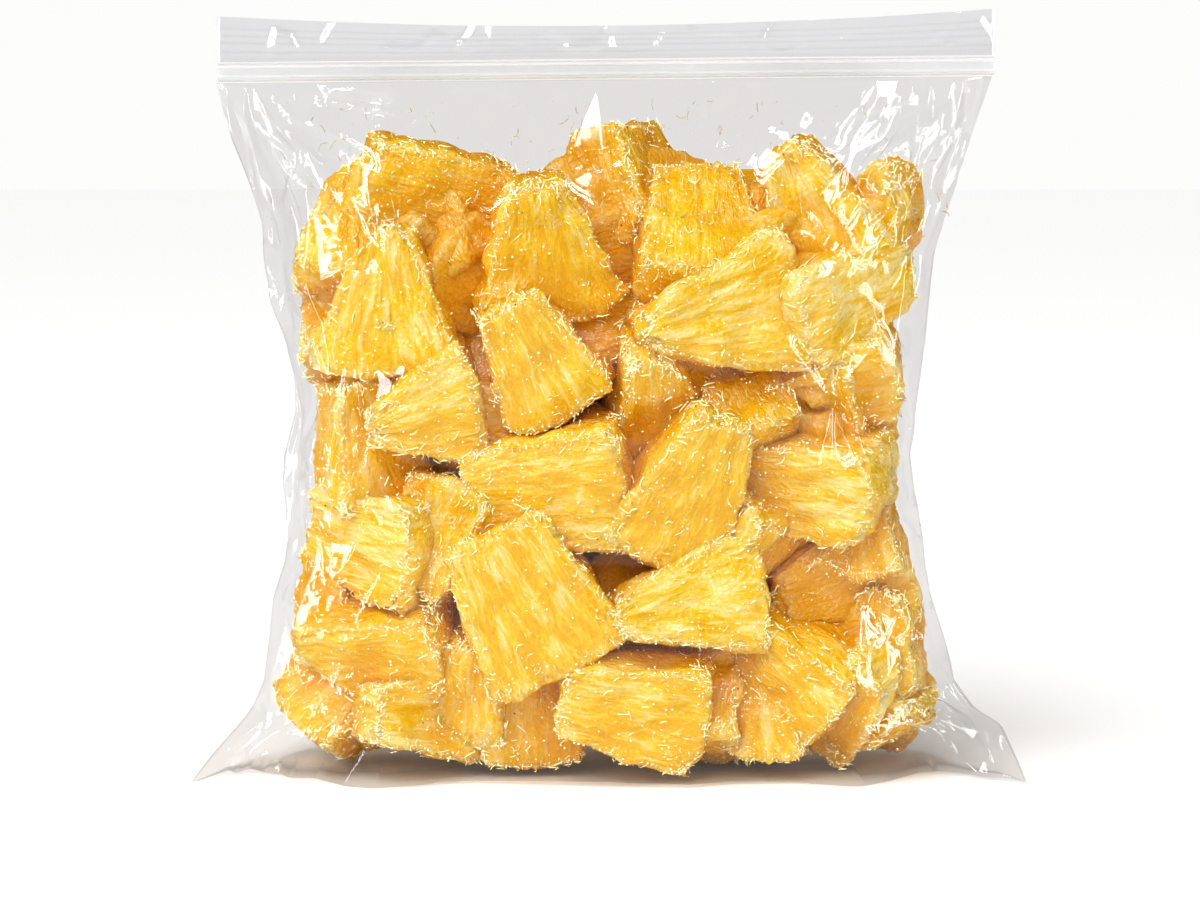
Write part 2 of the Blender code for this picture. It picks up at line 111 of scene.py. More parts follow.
# Each front wedge: X, height, length, rind width, tip width, turn of the tip in degrees from
# +X, and how far it lies behind the wedges that touch the film.
FRONT_WEDGES = (
    (-0.0407, 0.1350, 0.034, 0.024, 0.018, 162, 0.000),
    (-0.0640, 0.1270, 0.028, 0.026, 0.014, 80, 0.003),
    (-0.0148, 0.1230, 0.032, 0.038, 0.013, 98, 0.000),
    (0.0040, 0.1365, 0.026, 0.026, 0.014, 100, 0.008),
    (0.0210, 0.1240, 0.030, 0.031, 0.020, 88, 0.004),
    (0.0470, 0.1330, 0.027, 0.031, 0.009, 112, 0.000),
    (0.0680, 0.1290, 0.026, 0.022, 0.009, 60, 0.004),
    (-0.0485, 0.1120, 0.033, 0.037, 0.010, 88, 0.000),
    (-0.0625, 0.1040, 0.027, 0.026, 0.014, 200, 0.005),
    (-0.0165, 0.0998, 0.029, 0.029, 0.015, 116, 0.000),
    (-0.0030, 0.1040, 0.027, 0.024, 0.016, 10, 0.013),
    (0.0240, 0.1075, 0.037, 0.037, 0.010, 193, 0.000),
    (0.0100, 0.0920, 0.029, 0.027, 0.011, 100, 0.006),
    (0.0582, 0.1130, 0.033, 0.025, 0.018, 18, 0.003),
    (0.0575, 0.0915, 0.034, 0.025, 0.014, 200, 0.004),
    (-0.0425, 0.0870, 0.025, 0.030, 0.008, 195, 0.000),
    (-0.0590, 0.0790, 0.029, 0.027, 0.010, 108, 0.003),
    (-0.0137, 0.0690, 0.036, 0.031, 0.022, 186, 0.000),
    (0.0186, 0.0700, 0.037, 0.034, 0.014, 68, 0.000),
    (0.0300, 0.0860, 0.024, 0.024, 0.013, 100, 0.009),
    (0.0515, 0.0690, 0.033, 0.025, 0.020, 178, 0.001),
    (-0.0564, 0.0560, 0.029, 0.027, 0.020, 170, 0.001),
    (-0.0375, 0.0550, 0.027, 0.023, 0.012, 250, 0.006),
    (-0.0185, 0.0435, 0.036, 0.036, 0.025, 116, 0.000),
    (0.0172, 0.0412, 0.034, 0.031, 0.009, 192, 0.000),
    (0.0325, 0.0550, 0.025, 0.024, 0.014, 30, 0.010),
    (0.0560, 0.0420, 0.033, 0.029, 0.019, 205, 0.000),
    (-0.0535, 0.0330, 0.033, 0.025, 0.017, 182, 0.002),
    (0.0438, 0.0270, 0.029, 0.027, 0.015, 146, 0.002),
    (0.0055, 0.0160, 0.033, 0.029, 0.017, 168, 0.001),
    (0.0238, 0.0185, 0.026, 0.021, 0.014, 82, 0.008),
    (0.0575, 0.0150, 0.029, 0.025, 0.013, 48, 0.002),
    (0.0378, 0.0110, 0.023, 0.021, 0.007, 90, 0.008),
    (-0.0305, 0.0225, 0.025, 0.024, 0.014, 80, 0.007),
    (-0.0175, 0.0150, 0.025, 0.025, 0.017, 92, 0.009),
    (-0.0680, 0.0420, 0.022, 0.020, 0.010, 100, 0.008),
    (-0.0670, 0.0180, 0.027, 0.023, 0.012, 46, 0.004),
    (0.0700, 0.0320, 0.024, 0.020, 0.010, 88, 0.008),
    (0.0710, 0.0140, 0.022, 0.020, 0.008, 2, 0.005),
    (-0.0238, 0.0830, 0.025, 0.025, 0.014, 0, 0.011),
    (-0.0460, 0.0130, 0.029, 0.026, 0.012, 178, 0.003),
    (0.0680, 0.0900, 0.022, 0.020, 0.010, 80, 0.009),
    (0.0690, 0.0570, 0.021, 0.020, 0.009, 92, 0.008),
)
PIECE_WEDGES = 15  # the most wedges in one mesh at the front or the back
BACK_ROWS = (0.016, 0.040, 0.063, 0.086, 0.107, 0.126)  # heights of the wedges at the back
BACK_COLUMNS = 5
BACK_MARGIN = 0.013  # how far the middle of the last wedge of a row lies inside the bag's side
BACK_JITTER = 0.003
BACK_LEAST = (0.028, 0.027, 0.010)  # length, rind width and tip width of the smallest wedge
BACK_MOST = (0.035, 0.035, 0.020)
BACK_SUNK = 0.004  # the furthest that one lies behind the wedges that touch the film
THICKNESS = (0.018, 0.025)  # thinnest and thickest slice that the wedges are cut from
FRONT_TILT_DEG = 9.0  # usual lean out of the plane of the film where a slice face touches it
TILT_DEG = 25.0  # usual lean of the other wedges
MOST_TILT_SHARE = 1.6  # the most that a wedge leans, as a share of the usual lean
RIND_BULGE = 0.0022
EDGE_POWER = 10.0  # how crisp the cut edges are
WALL_CLEARANCE = 0.0006
MOST_PROUD = 0.004  # a wedge presses the film out past the plain bag by no more than this
SEAM_SLOPE = 3.0  # how steeply the film leaves the side seam
PROUD_SHARE = 12  # percent of a wedge's surface that may press the film out past the plain bag
BACK_SEED = 11
TILT_SEED = 5
SURFACE_SEED = 40

# Wedges that fill the middle of the bag, behind the ones that touch the film.
MIDDLE_ROWS = (0.020, 0.045, 0.070, 0.095, 0.118)
MIDDLE_COLUMNS = (-0.052, -0.027, 0.000, 0.026, 0.052)
MIDDLE_JITTER = (0.006, 0.006, 0.5, 0.5)  # metres along X and Z, and radians of both leans
MIDDLE_WEDGE = (0.031, 0.030, 0.014)  # length, rind width and tip width
MIDDLE_THICKNESS = 0.021

# Points along the side of one face of a wedge.
FRONT_POINTS = 30
BACK_POINTS = 18
MIDDLE_POINTS = 14

CHOPS = 3  # corners and edges that the knife took off each wedge
CHOP_DEPTH = (0.0005, 0.0032)
CHOP_LEAN = (0.5, 0.5, 0.0)  # least share of each of the wedge's axes in the way that a chop faces
EDGE_START, EDGE_REACH = 0.72, 0.28  # share of the way out on a face to its edge, and the rest
WAVE_SIZES = (0.7, 1.3)  # least and most, as shares of the usual, of the waves that shape a face
LUMP_SIZE, LUMP_HEIGHT = 0.010, 0.00042
STRAND_SIZE, STRAND_HEIGHT = 0.0030, 0.00014
STRAND_SHAPE = (0.34, 1.0, 0.8)  # how fine a strand is along, across and through the wedge
GROOVE_SIZE, GROOVE_DEPTH, GROOVE_START = 0.0050, 0.00060, 0.80
NIBBLE_SIZE, NIBBLE_HEIGHT, NIBBLE_INSIDE = 0.0019, 0.00036, 0.18

# painted shade: the darker orange that fruit deep in the pile is painted
SHADED_GOLD = (0.80, 0.34, 0.001, 1.0)
DEEP_GOLD = (0.93, 0.49, 0.002, 1.0)
MID_GOLD = (0.97, 0.62, 0.018, 1.0)
PALE_YELLOW = (1.00, 0.78, 0.260, 1.0)
FROSTED = (1.00, 0.78, 0.320, 1.0)
# Streaks of colour: how many there are to a metre along, across and through a wedge.
PATCH_GRAIN = (60.0, 230.0, 200.0)
STREAK_GRAIN = (130.0, 560.0, 430.0)
STRAND_GRAIN = (420.0, 1700.0, 1300.0)
CRUMB_GRAIN, BEAD_GRAIN = 900.0, 1100.0  # crumbs of frost and beads of water to a metre
# The tone of a place is the sum of these shares and a shift, and picks a colour between stops.
TONE_SHIFT = -0.77
PATCH_SHARE, STREAK_SHARE, STRAND_SHARE, WEDGE_SHARE = 1.1, 1.0, 0.28, 0.16
TONE_STOPS = ((0.34, DEEP_GOLD), (0.53, MID_GOLD), (0.74, PALE_YELLOW))
SHADED_SHARE = 0.8  # share of painted shade in the colour of fruit deep in the pile
THREAD_GAIN, THREAD_SHIFT, THREAD_SHARE = 7.0, -4.3, 0.35  # pale threads where a strand is high
RIME_GAIN, RIME_SHIFT = 2.6, -1.1  # frost on the edges where a crumb is high
ROUGH_CRUMB, ROUGH_WET = 0.30, 0.10
STREAK_BUMP, STRAND_BUMP, BEAD_BUMP = 0.0014, 0.0006, 0.0007
FLESH_SHARE, FLESH_DEPTH = 0.25, 0.0025  # light that enters the flesh, and how deep it goes
FLESH_REACH = (1.0, 0.80, 0.45)  # of red, green and blue light, as shares of that depth
WET_SHINE = 0.22
SAME_PLACE = 1e6  # steps to a unit of length that points are rounded to before they are welded


def station(z, column):
    """One column of STATIONS at the heights z, as a cubic Hermite curve with central slopes."""
    heights, values = STATIONS[:, 0], STATIONS[:, column]
    slopes = np.gradient(values, heights)
    i = np.clip(np.searchsorted(heights, z) - 1, 0, len(heights) - 2)
    step = heights[i + 1] - heights[i]
    t = np.clip((z - heights[i]) / step, 0.0, 1.0)
    return (
        (1 + 2 * t) * (1 - t) ** 2 * values[i]
        + t * (1 - t) ** 2 * step * slopes[i]
        + t * t * (3 - 2 * t) * values[i + 1]
        + t * t * (t - 1) * step * slopes[i + 1]
    )


def shell_depth(x, z):
    """Depth of the taut, plain bag from its middle plane: a superellipse at each height."""
    share = np.clip(np.abs(x) / station(z, WIDTH), 0.0, 1.0)
    return station(z, DEPTH) * (1 - share**SECTION_POWER) ** (1 / SECTION_POWER)


def seam_reach(x, z):
    """How far the seam lies from the middle at height z, on the side where x is."""
    left, right = (np.interp(z, SEAM_LINE[:, 0], SEAM_LINE[:, side]) for side in (1, 2))
    return np.where(x < 0, left, right)


def film_limit(x, z):
    """The furthest that the film can stand from the middle plane."""
    room = SEAM_SLOPE * np.clip(seam_reach(x, z) - np.abs(x), 0, 1)
    return np.minimum(np.minimum(shell_depth(x, z) + MOST_PROUD, room), HALF_DEPTH - WALL_CLEARANCE)


def grid_quads(rows, columns, first, flip):
    """Quads of a grid of points numbered row by row from first."""
    i, j = (g.ravel() for g in np.meshgrid(np.arange(rows), np.arange(columns), indexing="ij"))
    a = first + i * (columns + 1) + j
    quads = np.stack((a, a + 1, a + columns + 2, a + columns + 1), 1)
    return quads[:, ::-1] if flip else quads


def merged(points):
    """The points with those that lie in one place made one, and which of them each has become."""
    places = np.rint(points * SAME_PLACE).astype(int)
    _, first, index = np.unique(places, axis=0, return_index=True, return_inverse=True)
    return points[first], index.ravel()


def cube_net(n):
    """Points on the cube from -1 to 1, n by n on each side and welded, and the quads of the net.

    The lines of the net lie closer together near the edges of the cube.
    """
    even = np.linspace(-1, 1, n)
    line = 0.5 * even + 0.5 * np.sin(even * math.pi / 2)
    p, q = (grid.ravel() for grid in np.meshgrid(line, line))
    sides, quads = [], []
    for axis in range(3):
        for end in (-1.0, 1.0):
            inward = (end < 0) != (axis == 1)
            quads.append(grid_quads(n - 1, n - 1, n * n * len(quads), inward))
            sides.append(np.insert(np.stack((p, q), 1), axis, end, axis=1))
    points, index = merged(np.concatenate(sides))
    return points, index[np.concatenate(quads)]


def ripples(points, size, seed, waves=14):
    """Sum of plane waves about one size long, of random heading and phase, with unit spread."""
    chance = np.random.default_rng(seed)
    heading = chance.normal(size=(points.shape[1], waves))
    turns = 2 * math.pi / size * chance.uniform(*WAVE_SIZES, waves)
    heading *= turns / np.linalg.norm(heading, axis=0)
    phase = chance.uniform(0, 2 * math.pi, waves)
    return np.sin(points @ heading + phase).sum(1) * (2 / waves) ** 0.5


def turned(points, axis, angle):
    """Points turned about one coordinate axis by an angle in radians."""
    a, b = (axis + 1) % 3, (axis + 2) % 3
    out = points.copy()
    out[:, a] = points[:, a] * math.cos(angle) - points[:, b] * math.sin(angle)
    out[:, b] = points[:, a] * math.sin(angle) + points[:, b] * math.cos(angle)
    return out


def wedge_list():
    """Every wedge with its thickness, its two tilts, and its side: -1 in front, 1 behind."""
    chance = np.random.default_rng(BACK_SEED)
    rows = [(*wedge, -1) for wedge in FRONT_WEDGES]
    for i, z in enumerate(BACK_ROWS):
        half = station(np.array([z]), WIDTH)[0] - BACK_MARGIN
        for j in range(BACK_COLUMNS):
            x = half * (2 * (j + 0.25 + 0.5 * (i % 2)) / (BACK_COLUMNS - 0.5) - 1)
            jitter = chance.uniform(-BACK_JITTER, BACK_JITTER, 2)
            length, rind, tip = chance.uniform(BACK_LEAST, BACK_MOST)
            turn, sunk = chance.uniform((0, 0), (360, BACK_SUNK))
            rows.append((x + jitter[0], z + jitter[1], length, rind, tip, turn, sunk, 1))
    chance = np.random.default_rng(TILT_SEED)
    found = []
    for row in rows:
        thickness = chance.uniform(*THICKNESS)
        usual = FRONT_TILT_DEG if row[6] == 0 else TILT_DEG
        tilts = usual * np.clip(chance.normal(0, 1, 2), -MOST_TILT_SHARE, MOST_TILT_SHARE)
        found.append((*row, thickness, *np.radians(tilts)))
    return found


def cut_wedge(cube, length, rind, tip, thickness, seed):
    """A wedge's surface from the points of a cube, its fibre coordinates, and how near an edge is.

    The cube gets round edges by dividing by a high-power norm, narrows from the rind to the tip
    and bulges at the rind. Points past a knife's plane are laid on it. Lumps, strands along the
    fibres and nibbled edges push the surface out, and long grooves where a wave is high, in.
    """
    chance = np.random.default_rng(seed)
    soft = cube / np.linalg.norm(cube, ord=EDGE_POWER, axis=1)[:, None]
    p, q, s = soft.T
    to_tip = (p + 1) / 2
    half = (rind + (tip - rind) * to_tip) / 2
    along = p * length / 2 - RIND_BULGE * (1 - q * q) * (1 - to_tip)
    points = np.stack((along, q * half, s * thickness / 2), 1)
    fibre = np.stack((along, q * (rind + tip) / 4, s * thickness / 2), 1)
    facing = np.sign(soft) * np.abs(soft) ** (EDGE_POWER - 1)
    facing /= np.linalg.norm(facing, axis=1)[:, None]
    for _ in range(CHOPS):
        plane = chance.choice((-1.0, 1.0), 3) * chance.uniform(CHOP_LEAN, 1.0)
        plane /= np.linalg.norm(plane)
        reach = points @ plane
        past = np.clip(reach - reach.max() + chance.uniform(*CHOP_DEPTH), 0, 1)
        points -= past[:, None] * plane
    edge = np.sort(np.abs(cube), axis=1)[:, 1]
    near_edge = np.clip((edge - EDGE_START) / EDGE_REACH, 0, 1) ** 2
    strand = fibre * STRAND_SHAPE
    height = LUMP_HEIGHT * ripples(fibre, LUMP_SIZE, seed + 1)
    height += STRAND_HEIGHT * ripples(strand, STRAND_SIZE, seed + 2)
    height -= GROOVE_DEPTH * np.clip(ripples(strand, GROOVE_SIZE, seed + 3) - GROOVE_START, 0, 1)
    height += (NIBBLE_INSIDE + near_edge) * NIBBLE_HEIGHT * ripples(fibre, NIBBLE_SIZE, seed + 4)
    return points + facing * height[:, None], fibre, near_edge


def leaned(points, turn, nod, roll):
    """Points of a wedge leaned out of the plane of the film and turned in it, in the bag's axes."""
    points = turned(turned(points, 1, nod), 0, roll)
    return turned(points, 2, math.radians(turn))[:, [0, 2, 1]]


def placed(points, x, z, turn, sunk, side, nod, roll):
    """A wedge's points in place, pressed out from the middle until it meets the plain bag."""
    out = leaned(points, turn, nod, roll) + (x, 0.0, z)
    out[:, 2] += max(0.0, WALL_CLEARANCE - out[:, 2].min())
    room = station(out[:, 2], WIDTH) - 2 * WALL_CLEARANCE
    out[:, 0] -= max(0.0, (out[:, 0] - room).max())
    out[:, 0] += max(0.0, (-out[:, 0] - room).max())
    if side:
        spare = shell_depth(out[:, 0], out[:, 2]) - out[:, 1]
        out[:, 1] += np.percentile(spare, PROUD_SHARE) - WALL_CLEARANCE - sunk
        out[:, 1] -= max(0.0, (out[:, 1] - film_limit(out[:, 0], out[:, 2])).max() + WALL_CLEARANCE)
        out[:, 1] *= side
    return out


def middle_wedges():
    """Rows like wedge_list's for the wedges hidden in the middle of the bag."""
    chance = np.random.default_rng(BACK_SEED + 1)
    rows = []
    for z in MIDDLE_ROWS:
        for x in MIDDLE_COLUMNS:
            dx, dz, nod, roll = chance.uniform(-1, 1, 4) * MIDDLE_JITTER
            turn = chance.uniform(0, 360)
            rows.append((x + dx, z + dz, *MIDDLE_WEDGE, turn, 0, 0, MIDDLE_THICKNESS, nod, roll))
    return rows


def heap(rows, n, seed):
    """All wedges of these rows, joined.

    Returns points, quads, fibre coordinates, tone and nearness to an edge, and the fibres' way.
    """
    cube, net = cube_net(n)
    chance = np.random.default_rng(seed)
    points, quads, fibres, cuts, ways = [], [], [], [], []
    for row in rows:
        x, z, length, rind, tip, turn, sunk, side, thickness, nod, roll = row
        own_seed = seed + 10 * len(points)
        surface, fibre, near_edge = cut_wedge(cube, length, rind, tip, thickness, own_seed)
        quads.append((net if side < 0 else net[:, ::-1]) + len(cube) * len(points))
        points.append(placed(surface, x, z, turn, sunk, side, nod, roll))
        fibres.append(fibre + chance.uniform(0, 1, 3))
        tone = np.full(len(cube), chance.uniform(0, 1))
        cuts.append(np.stack((tone, near_edge), 1))
        way = leaned(np.array([[1.0, 0.0, 0.0]]), turn, nod, roll) * (1, side or 1, 1)
        ways.append(np.repeat(way, len(cube), 0))
    return [np.concatenate(part) for part in (points, quads, fibres, cuts, ways)]


wet_fruit = bpy.data.collections.new("wet_fruit")  # what the glint lamp lights
ice = bpy.data.collections.new("ice")  # what the sparkle lamp lights


def add_piece(name, points, quads, material, slot, **attributes):
    """Makes a smooth mesh object that rides on the bag, with vectors stored at its points."""
    mesh = bpy.data.meshes.new(name)
    mesh.from_pydata(points, [], quads)
    for key, values in attributes.items():
        stored = mesh.attributes.new(key, "FLOAT_VECTOR", "POINT")
        stored.data.foreach_set("vector", np.ascontiguousarray(values, np.float32).ravel())
    mesh.materials.append(material)
    mesh.shade_smooth()
    piece = bpy.data.objects.new(name, mesh)
    bpy.context.scene.collection.objects.link(piece)
    if slot == "fruit":
        wet_fruit.objects.link(piece)
    if name.startswith("frost"):
        ice.objects.link(piece)
    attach(piece, "root")
    return piece


def node(tree, kind, inputs=None, output=0, **settings):
    """Adds a shader node, sets or links its inputs, and returns one of its outputs."""
    made = tree.nodes.new("ShaderNode" + kind)
    for key, value in settings.items():
        setattr(made, key, value)
    for key, value in (inputs or {}).items():
        if isinstance(value, bpy.types.NodeSocket):
            tree.links.new(value, made.inputs[key])
        else:
            made.inputs[key].default_value = value
    return made.outputs[output]


def math_node(tree, operation, a, b, c=0.0, clamp=False):
    """Adds a Math node on two or three values or sockets."""
    return node(tree, "Math", {0: a, 1: b, 2: c}, operation=operation, use_clamp=clamp)


def mixed_colour(tree, share, a, b, blend="MIX"):
    """Adds a colour Mix node and returns its colour output."""
    inputs = {0: share, 6: a, 7: b}
    return node(tree, "Mix", inputs, 2, data_type="RGBA", blend_type=blend)


def colour_ramp(tree, share, stops):
    """Adds a colour ramp through these stops, read at share, and returns its colour."""
    ramp = tree.nodes.new("ShaderNodeValToRGB")
    for place, colour in stops:
        ramp.color_ramp.elements.new(place).color = colour
    ramp.color_ramp.elements.remove(ramp.color_ramp.elements[0])
    ramp.color_ramp.elements.remove(ramp.color_ramp.elements[-1])
    tree.links.new(share, ramp.inputs[0])
    return ramp.outputs[0]


def new_material(name):
    """A new material, its node tree and its Principled shader."""
    material = bpy.data.materials.new(name)
    material.use_nodes = True
    return material, material.node_tree, material.node_tree.nodes["Principled BSDF"]


def fruit_material():
    """Frozen pineapple: soft streaks along the fibres, paler edges, wet gloss, light that enters the
    flesh, and painted shade deep in the pile.
    """
    material, tree, skin = new_material("frozen_pineapple")
    fibre = node(tree, "Attribute", output=1, attribute_name="fibre")
    cut = node(tree, "SeparateXYZ", {0: node(tree, "Attribute", output=1, attribute_name="cut")}, 0)
    tone, edge, painted_shade = (cut.node.outputs[i] for i in range(3))
    place = node(tree, "TexCoord", output=3)

    def stretched(scale):
        return node(tree, "Mapping", {"Vector": fibre, "Scale": scale})

    def noise(vector, scale, detail=3.0, rough=0.55, warp=0.0):
        inputs = {"Vector": vector, "Scale": scale, "Detail": detail, "Roughness": rough}
        return node(tree, "TexNoise", {**inputs, "Distortion": warp})

    patch = noise(stretched(PATCH_GRAIN), 1.0, detail=3.0, rough=0.5, warp=1.0)
    streak = noise(stretched(STREAK_GRAIN), 1.0, detail=3.0, rough=0.5, warp=1.4)
    strand = noise(stretched(STRAND_GRAIN), 1.0, detail=2.0, warp=1.2)
    crumb = noise(place, CRUMB_GRAIN, detail=3.0, rough=0.6)
    bead = noise(place, BEAD_GRAIN, detail=0.0)
    toned = math_node(tree, "MULTIPLY_ADD", patch, PATCH_SHARE, TONE_SHIFT)
    for part, share in ((streak, STREAK_SHARE), (strand, STRAND_SHARE), (tone, WEDGE_SHARE)):
        toned = math_node(tree, "MULTIPLY_ADD", part, share, toned)
    lit = colour_ramp(tree, toned, TONE_STOPS)
    # painted shade: the colour darkens to a deep orange where the fruit lies far behind the film,
    # deep in the pile
    sunk = mixed_colour(tree, math_node(tree, "MULTIPLY", painted_shade, SHADED_SHARE), lit, SHADED_GOLD)
    thread = math_node(tree, "MULTIPLY_ADD", strand, THREAD_GAIN, THREAD_SHIFT, clamp=True)
    threaded = mixed_colour(tree, math_node(tree, "MULTIPLY", thread, THREAD_SHARE), sunk, FROSTED)
    rime = math_node(tree, "MULTIPLY_ADD", crumb, RIME_GAIN, RIME_SHIFT, clamp=True)
    colour = mixed_colour(tree, math_node(tree, "MULTIPLY", edge, rime), threaded, FROSTED)
    tree.links.new(colour, skin.inputs["Base Color"])
    rough = math_node(tree, "MULTIPLY_ADD", crumb, ROUGH_CRUMB, ROUGH_WET)
    tree.links.new(rough, skin.inputs["Roughness"])
    low = node(tree, "Bump", {"Height": streak, "Strength": 0.5, "Distance": STREAK_BUMP})
    for height, rise in ((strand, STRAND_BUMP), (bead, BEAD_BUMP)):
        low = node(tree, "Bump", {"Height": height, "Strength": 0.5, "Distance": rise, "Normal": low})
    tree.links.new(low, skin.inputs["Normal"])
    skin.inputs["Subsurface Weight"].default_value = FLESH_SHARE
    skin.inputs["Subsurface Radius"].default_value = FLESH_REACH
    skin.inputs["Subsurface Scale"].default_value = FLESH_DEPTH
    skin.inputs["Specular IOR Level"].default_value = WET_SHINE
    return material


every_wedge = wedge_list()
front_rows = every_wedge[: len(FRONT_WEDGES)]
back_rows = every_wedge[len(FRONT_WEDGES) :]
pineapple = fruit_material()
heaps = {}
for name, rows, count in (
    ("chunks_front_upper", front_rows[:PIECE_WEDGES], FRONT_POINTS),
    ("chunks_front_middle", front_rows[PIECE_WEDGES : 2 * PIECE_WEDGES], FRONT_POINTS),
    ("chunks_front_lower", front_rows[2 * PIECE_WEDGES :], FRONT_POINTS),
    ("chunks_back_lower", back_rows[:PIECE_WEDGES], BACK_POINTS),
    ("chunks_back_upper", back_rows[PIECE_WEDGES:], BACK_POINTS),
    ("chunks_middle", middle_wedges(), MIDDLE_POINTS),
):
    heaps[name] = heap(rows, count, SURFACE_SEED + 1000 * len(heaps))


# Film of the bag. It is thin clear polythene, drawn tight over the wedges, creased at the sides
# and in the empty head of the bag, and welded flat along both side seams. It is made before the
# wedges get their meshes, because no wedge may stand through it.
BAG_TOP = 0.1604
SEAL_TILT = 0.057  # rise of the seal per metre of X, per metre of height
SEAM_HALF_THICKNESS = 0.0004
EAR_ROOT_THICKNESS = 0.0085
EAR_HEIGHT = 0.024
EAR_START = 0.86  # where an ear begins, as a share of the half width of the filled part
EAR_FALL = 0.8  # power of the height by which an ear thins
EAR_PUFF = 0.6
EAR_FORWARD = 0.0237  # the bottom corners stick out to the front by this much
EAR_ROOT = 0.074
# The base stands on a low line at each side and is drawn up a little between them and past them.
BASE_LIFT = 0.0012
BASE_FADE = 0.012
FOOT_SHARE = 0.25 + 0.5 * math.sin(math.pi / 4)  # place of the line, as a share of the way out
# The film is drawn over the fruit on a raster of square cells.
CELL = 0.001
SPAN_RADIUS = 0.030  # how round the film hangs between two wedges
SPAN_REACH = 0.024
DEEP = -0.02  # depth that stands for no fruit
SLACK_SHARE = 0.68  # least depth of the film in the middle, as a share of the plain bag's
SIDE_SHARE = 0.85  # and at the sides
SIDE_POWER = 4
SMOOTH_PASSES = 3
# The top of the fruit is PILE_TOP high in the middle and lower by PILE_FALL times a power of X.
PILE_TOP, PILE_FALL, PILE_POWER = 0.146, 0.35, 1.4
HEAD_BLEND = 0.007  # height above and below it over which the film becomes the empty head's
FRUIT_CLEARANCE = 0.0004
SHADE_PAINT_FROM, SHADE_PAINT_TO = 0.0015, 0.009  # depths behind the film between which painted shade darkens the fruit's colour
# Where the film goes slack, and where it is wholly slack: at the sides by X, and by height in the
# head and at the foot.
SLACK_SIDE, SLACK_HEAD, SLACK_FOOT = (0.046, 0.060), (0.140, 0.146), (0.006, 0.024)
BEND_START = 0.14  # height above which the sheets bend with the seal
# Folds that can be picked out one by one, as folds() describes them.
FRONT_FOLDS = (
    (0.0505, 0.1570, 0.0330, 0.1505, 0.0030, 0.45, 3.0, 0.50),
    (0.0620, 0.1560, 0.0525, 0.1420, 0.0060, 0.45, 2.0, 0.30),
    (0.0700, 0.1570, 0.0530, 0.1420, 0.0045, 0.50, 2.5, 0.45),
    (0.0880, 0.1560, 0.0630, 0.1340, 0.0028, 0.60, 2.0, 0.50),
    (0.0800, 0.1560, 0.0700, 0.1450, 0.0026, 0.50, 2.0, 0.50),
    (-0.0880, 0.1560, -0.0630, 0.1400, 0.0050, 0.50, 1.6, 0.60),
    (-0.0780, 0.1520, -0.0520, 0.1240, 0.0060, 0.48, 1.5, 0.75),
    (-0.0520, 0.1260, -0.0600, 0.0980, 0.0040, 0.55, 1.5, 0.25),
    (-0.0580, 0.1000, -0.0600, 0.0700, 0.0030, 0.60, 1.5, 0.50),
    (0.0545, 0.1180, 0.0660, 0.0960, 0.0030, 0.55, 1.8, 0.45),
    (0.0545, 0.1180, 0.0720, 0.1150, 0.0022, 0.55, 1.8, 0.45),
    (0.0480, 0.0890, 0.0620, 0.0780, 0.0028, 0.55, 1.8, 0.45),
    (0.0480, 0.0890, 0.0640, 0.0850, 0.0022, 0.55, 1.8, 0.45),
    (-0.0690, 0.0500, -0.0580, 0.0440, 0.0035, 0.50, 1.8, 0.50),
    (-0.0700, 0.0330, -0.0600, 0.0350, 0.0028, 0.55, 1.8, 0.50),
    (-0.0740, 0.0200, -0.0640, 0.0260, 0.0030, 0.55, 1.8, 0.50),
    (0.0560, 0.0120, 0.0800, 0.0150, 0.0040, 0.50, 1.5, 0.50),
    (0.0600, 0.0060, 0.0900, 0.0060, 0.0030, 0.50, 1.5, 0.50),
)
BACK_FOLDS = (
    (-0.0880, 0.1560, -0.0580, 0.1280, 0.0050, 0.50, 1.8, 0.50),
    (-0.0700, 0.1570, -0.0500, 0.1420, 0.0045, 0.50, 2.5, 0.45),
    (0.0300, 0.1570, 0.0260, 0.1440, 0.0040, 0.50, 2.0, 0.80),
    (0.0880, 0.1560, 0.0600, 0.1300, 0.0050, 0.50, 1.6, 0.60),
    (0.0600, 0.1250, 0.0640, 0.0930, 0.0040, 0.55, 1.5, 0.30),
    (-0.0600, 0.1100, -0.0640, 0.0750, 0.0040, 0.55, 1.5, 0.50),
    (-0.0620, 0.0500, -0.0540, 0.0420, 0.0035, 0.50, 1.8, 0.50),
    (0.0640, 0.0520, 0.0540, 0.0400, 0.0035, 0.50, 1.8, 0.50),
)
# Points that pleats run out from: X, height, how far the pleats reach, their slope, and how many.
CORNER_STARS = ((-0.0885, 0.1600, 0.048, 0.095, 26), (0.0885, 0.1600, 0.048, 0.095, 26))
FRONT_STARS = (
    *CORNER_STARS,
    (0.0550, 0.1418, 0.022, 0.20, 13),
    (0.0585, 0.1182, 0.020, 0.22, 13),
    (0.0512, 0.0890, 0.022, 0.22, 13),
    (0.0690, 0.1340, 0.014, 0.20, 11),
    (-0.0690, 0.1480, 0.018, 0.22, 11),
    (-0.0508, 0.1227, 0.016, 0.22, 11),
    (-0.0600, 0.0700, 0.014, 0.18, 11),
    (-0.0640, 0.0440, 0.012, 0.18, 11),
    (-0.0660, 0.0240, 0.012, 0.18, 11),
    (0.0620, 0.0600, 0.012, 0.18, 11),
    (0.0640, 0.0330, 0.012, 0.18, 11),
    (0.0750, 0.0130, 0.014, 0.22, 15),
    (-0.0750, 0.0110, 0.014, 0.22, 15),
)
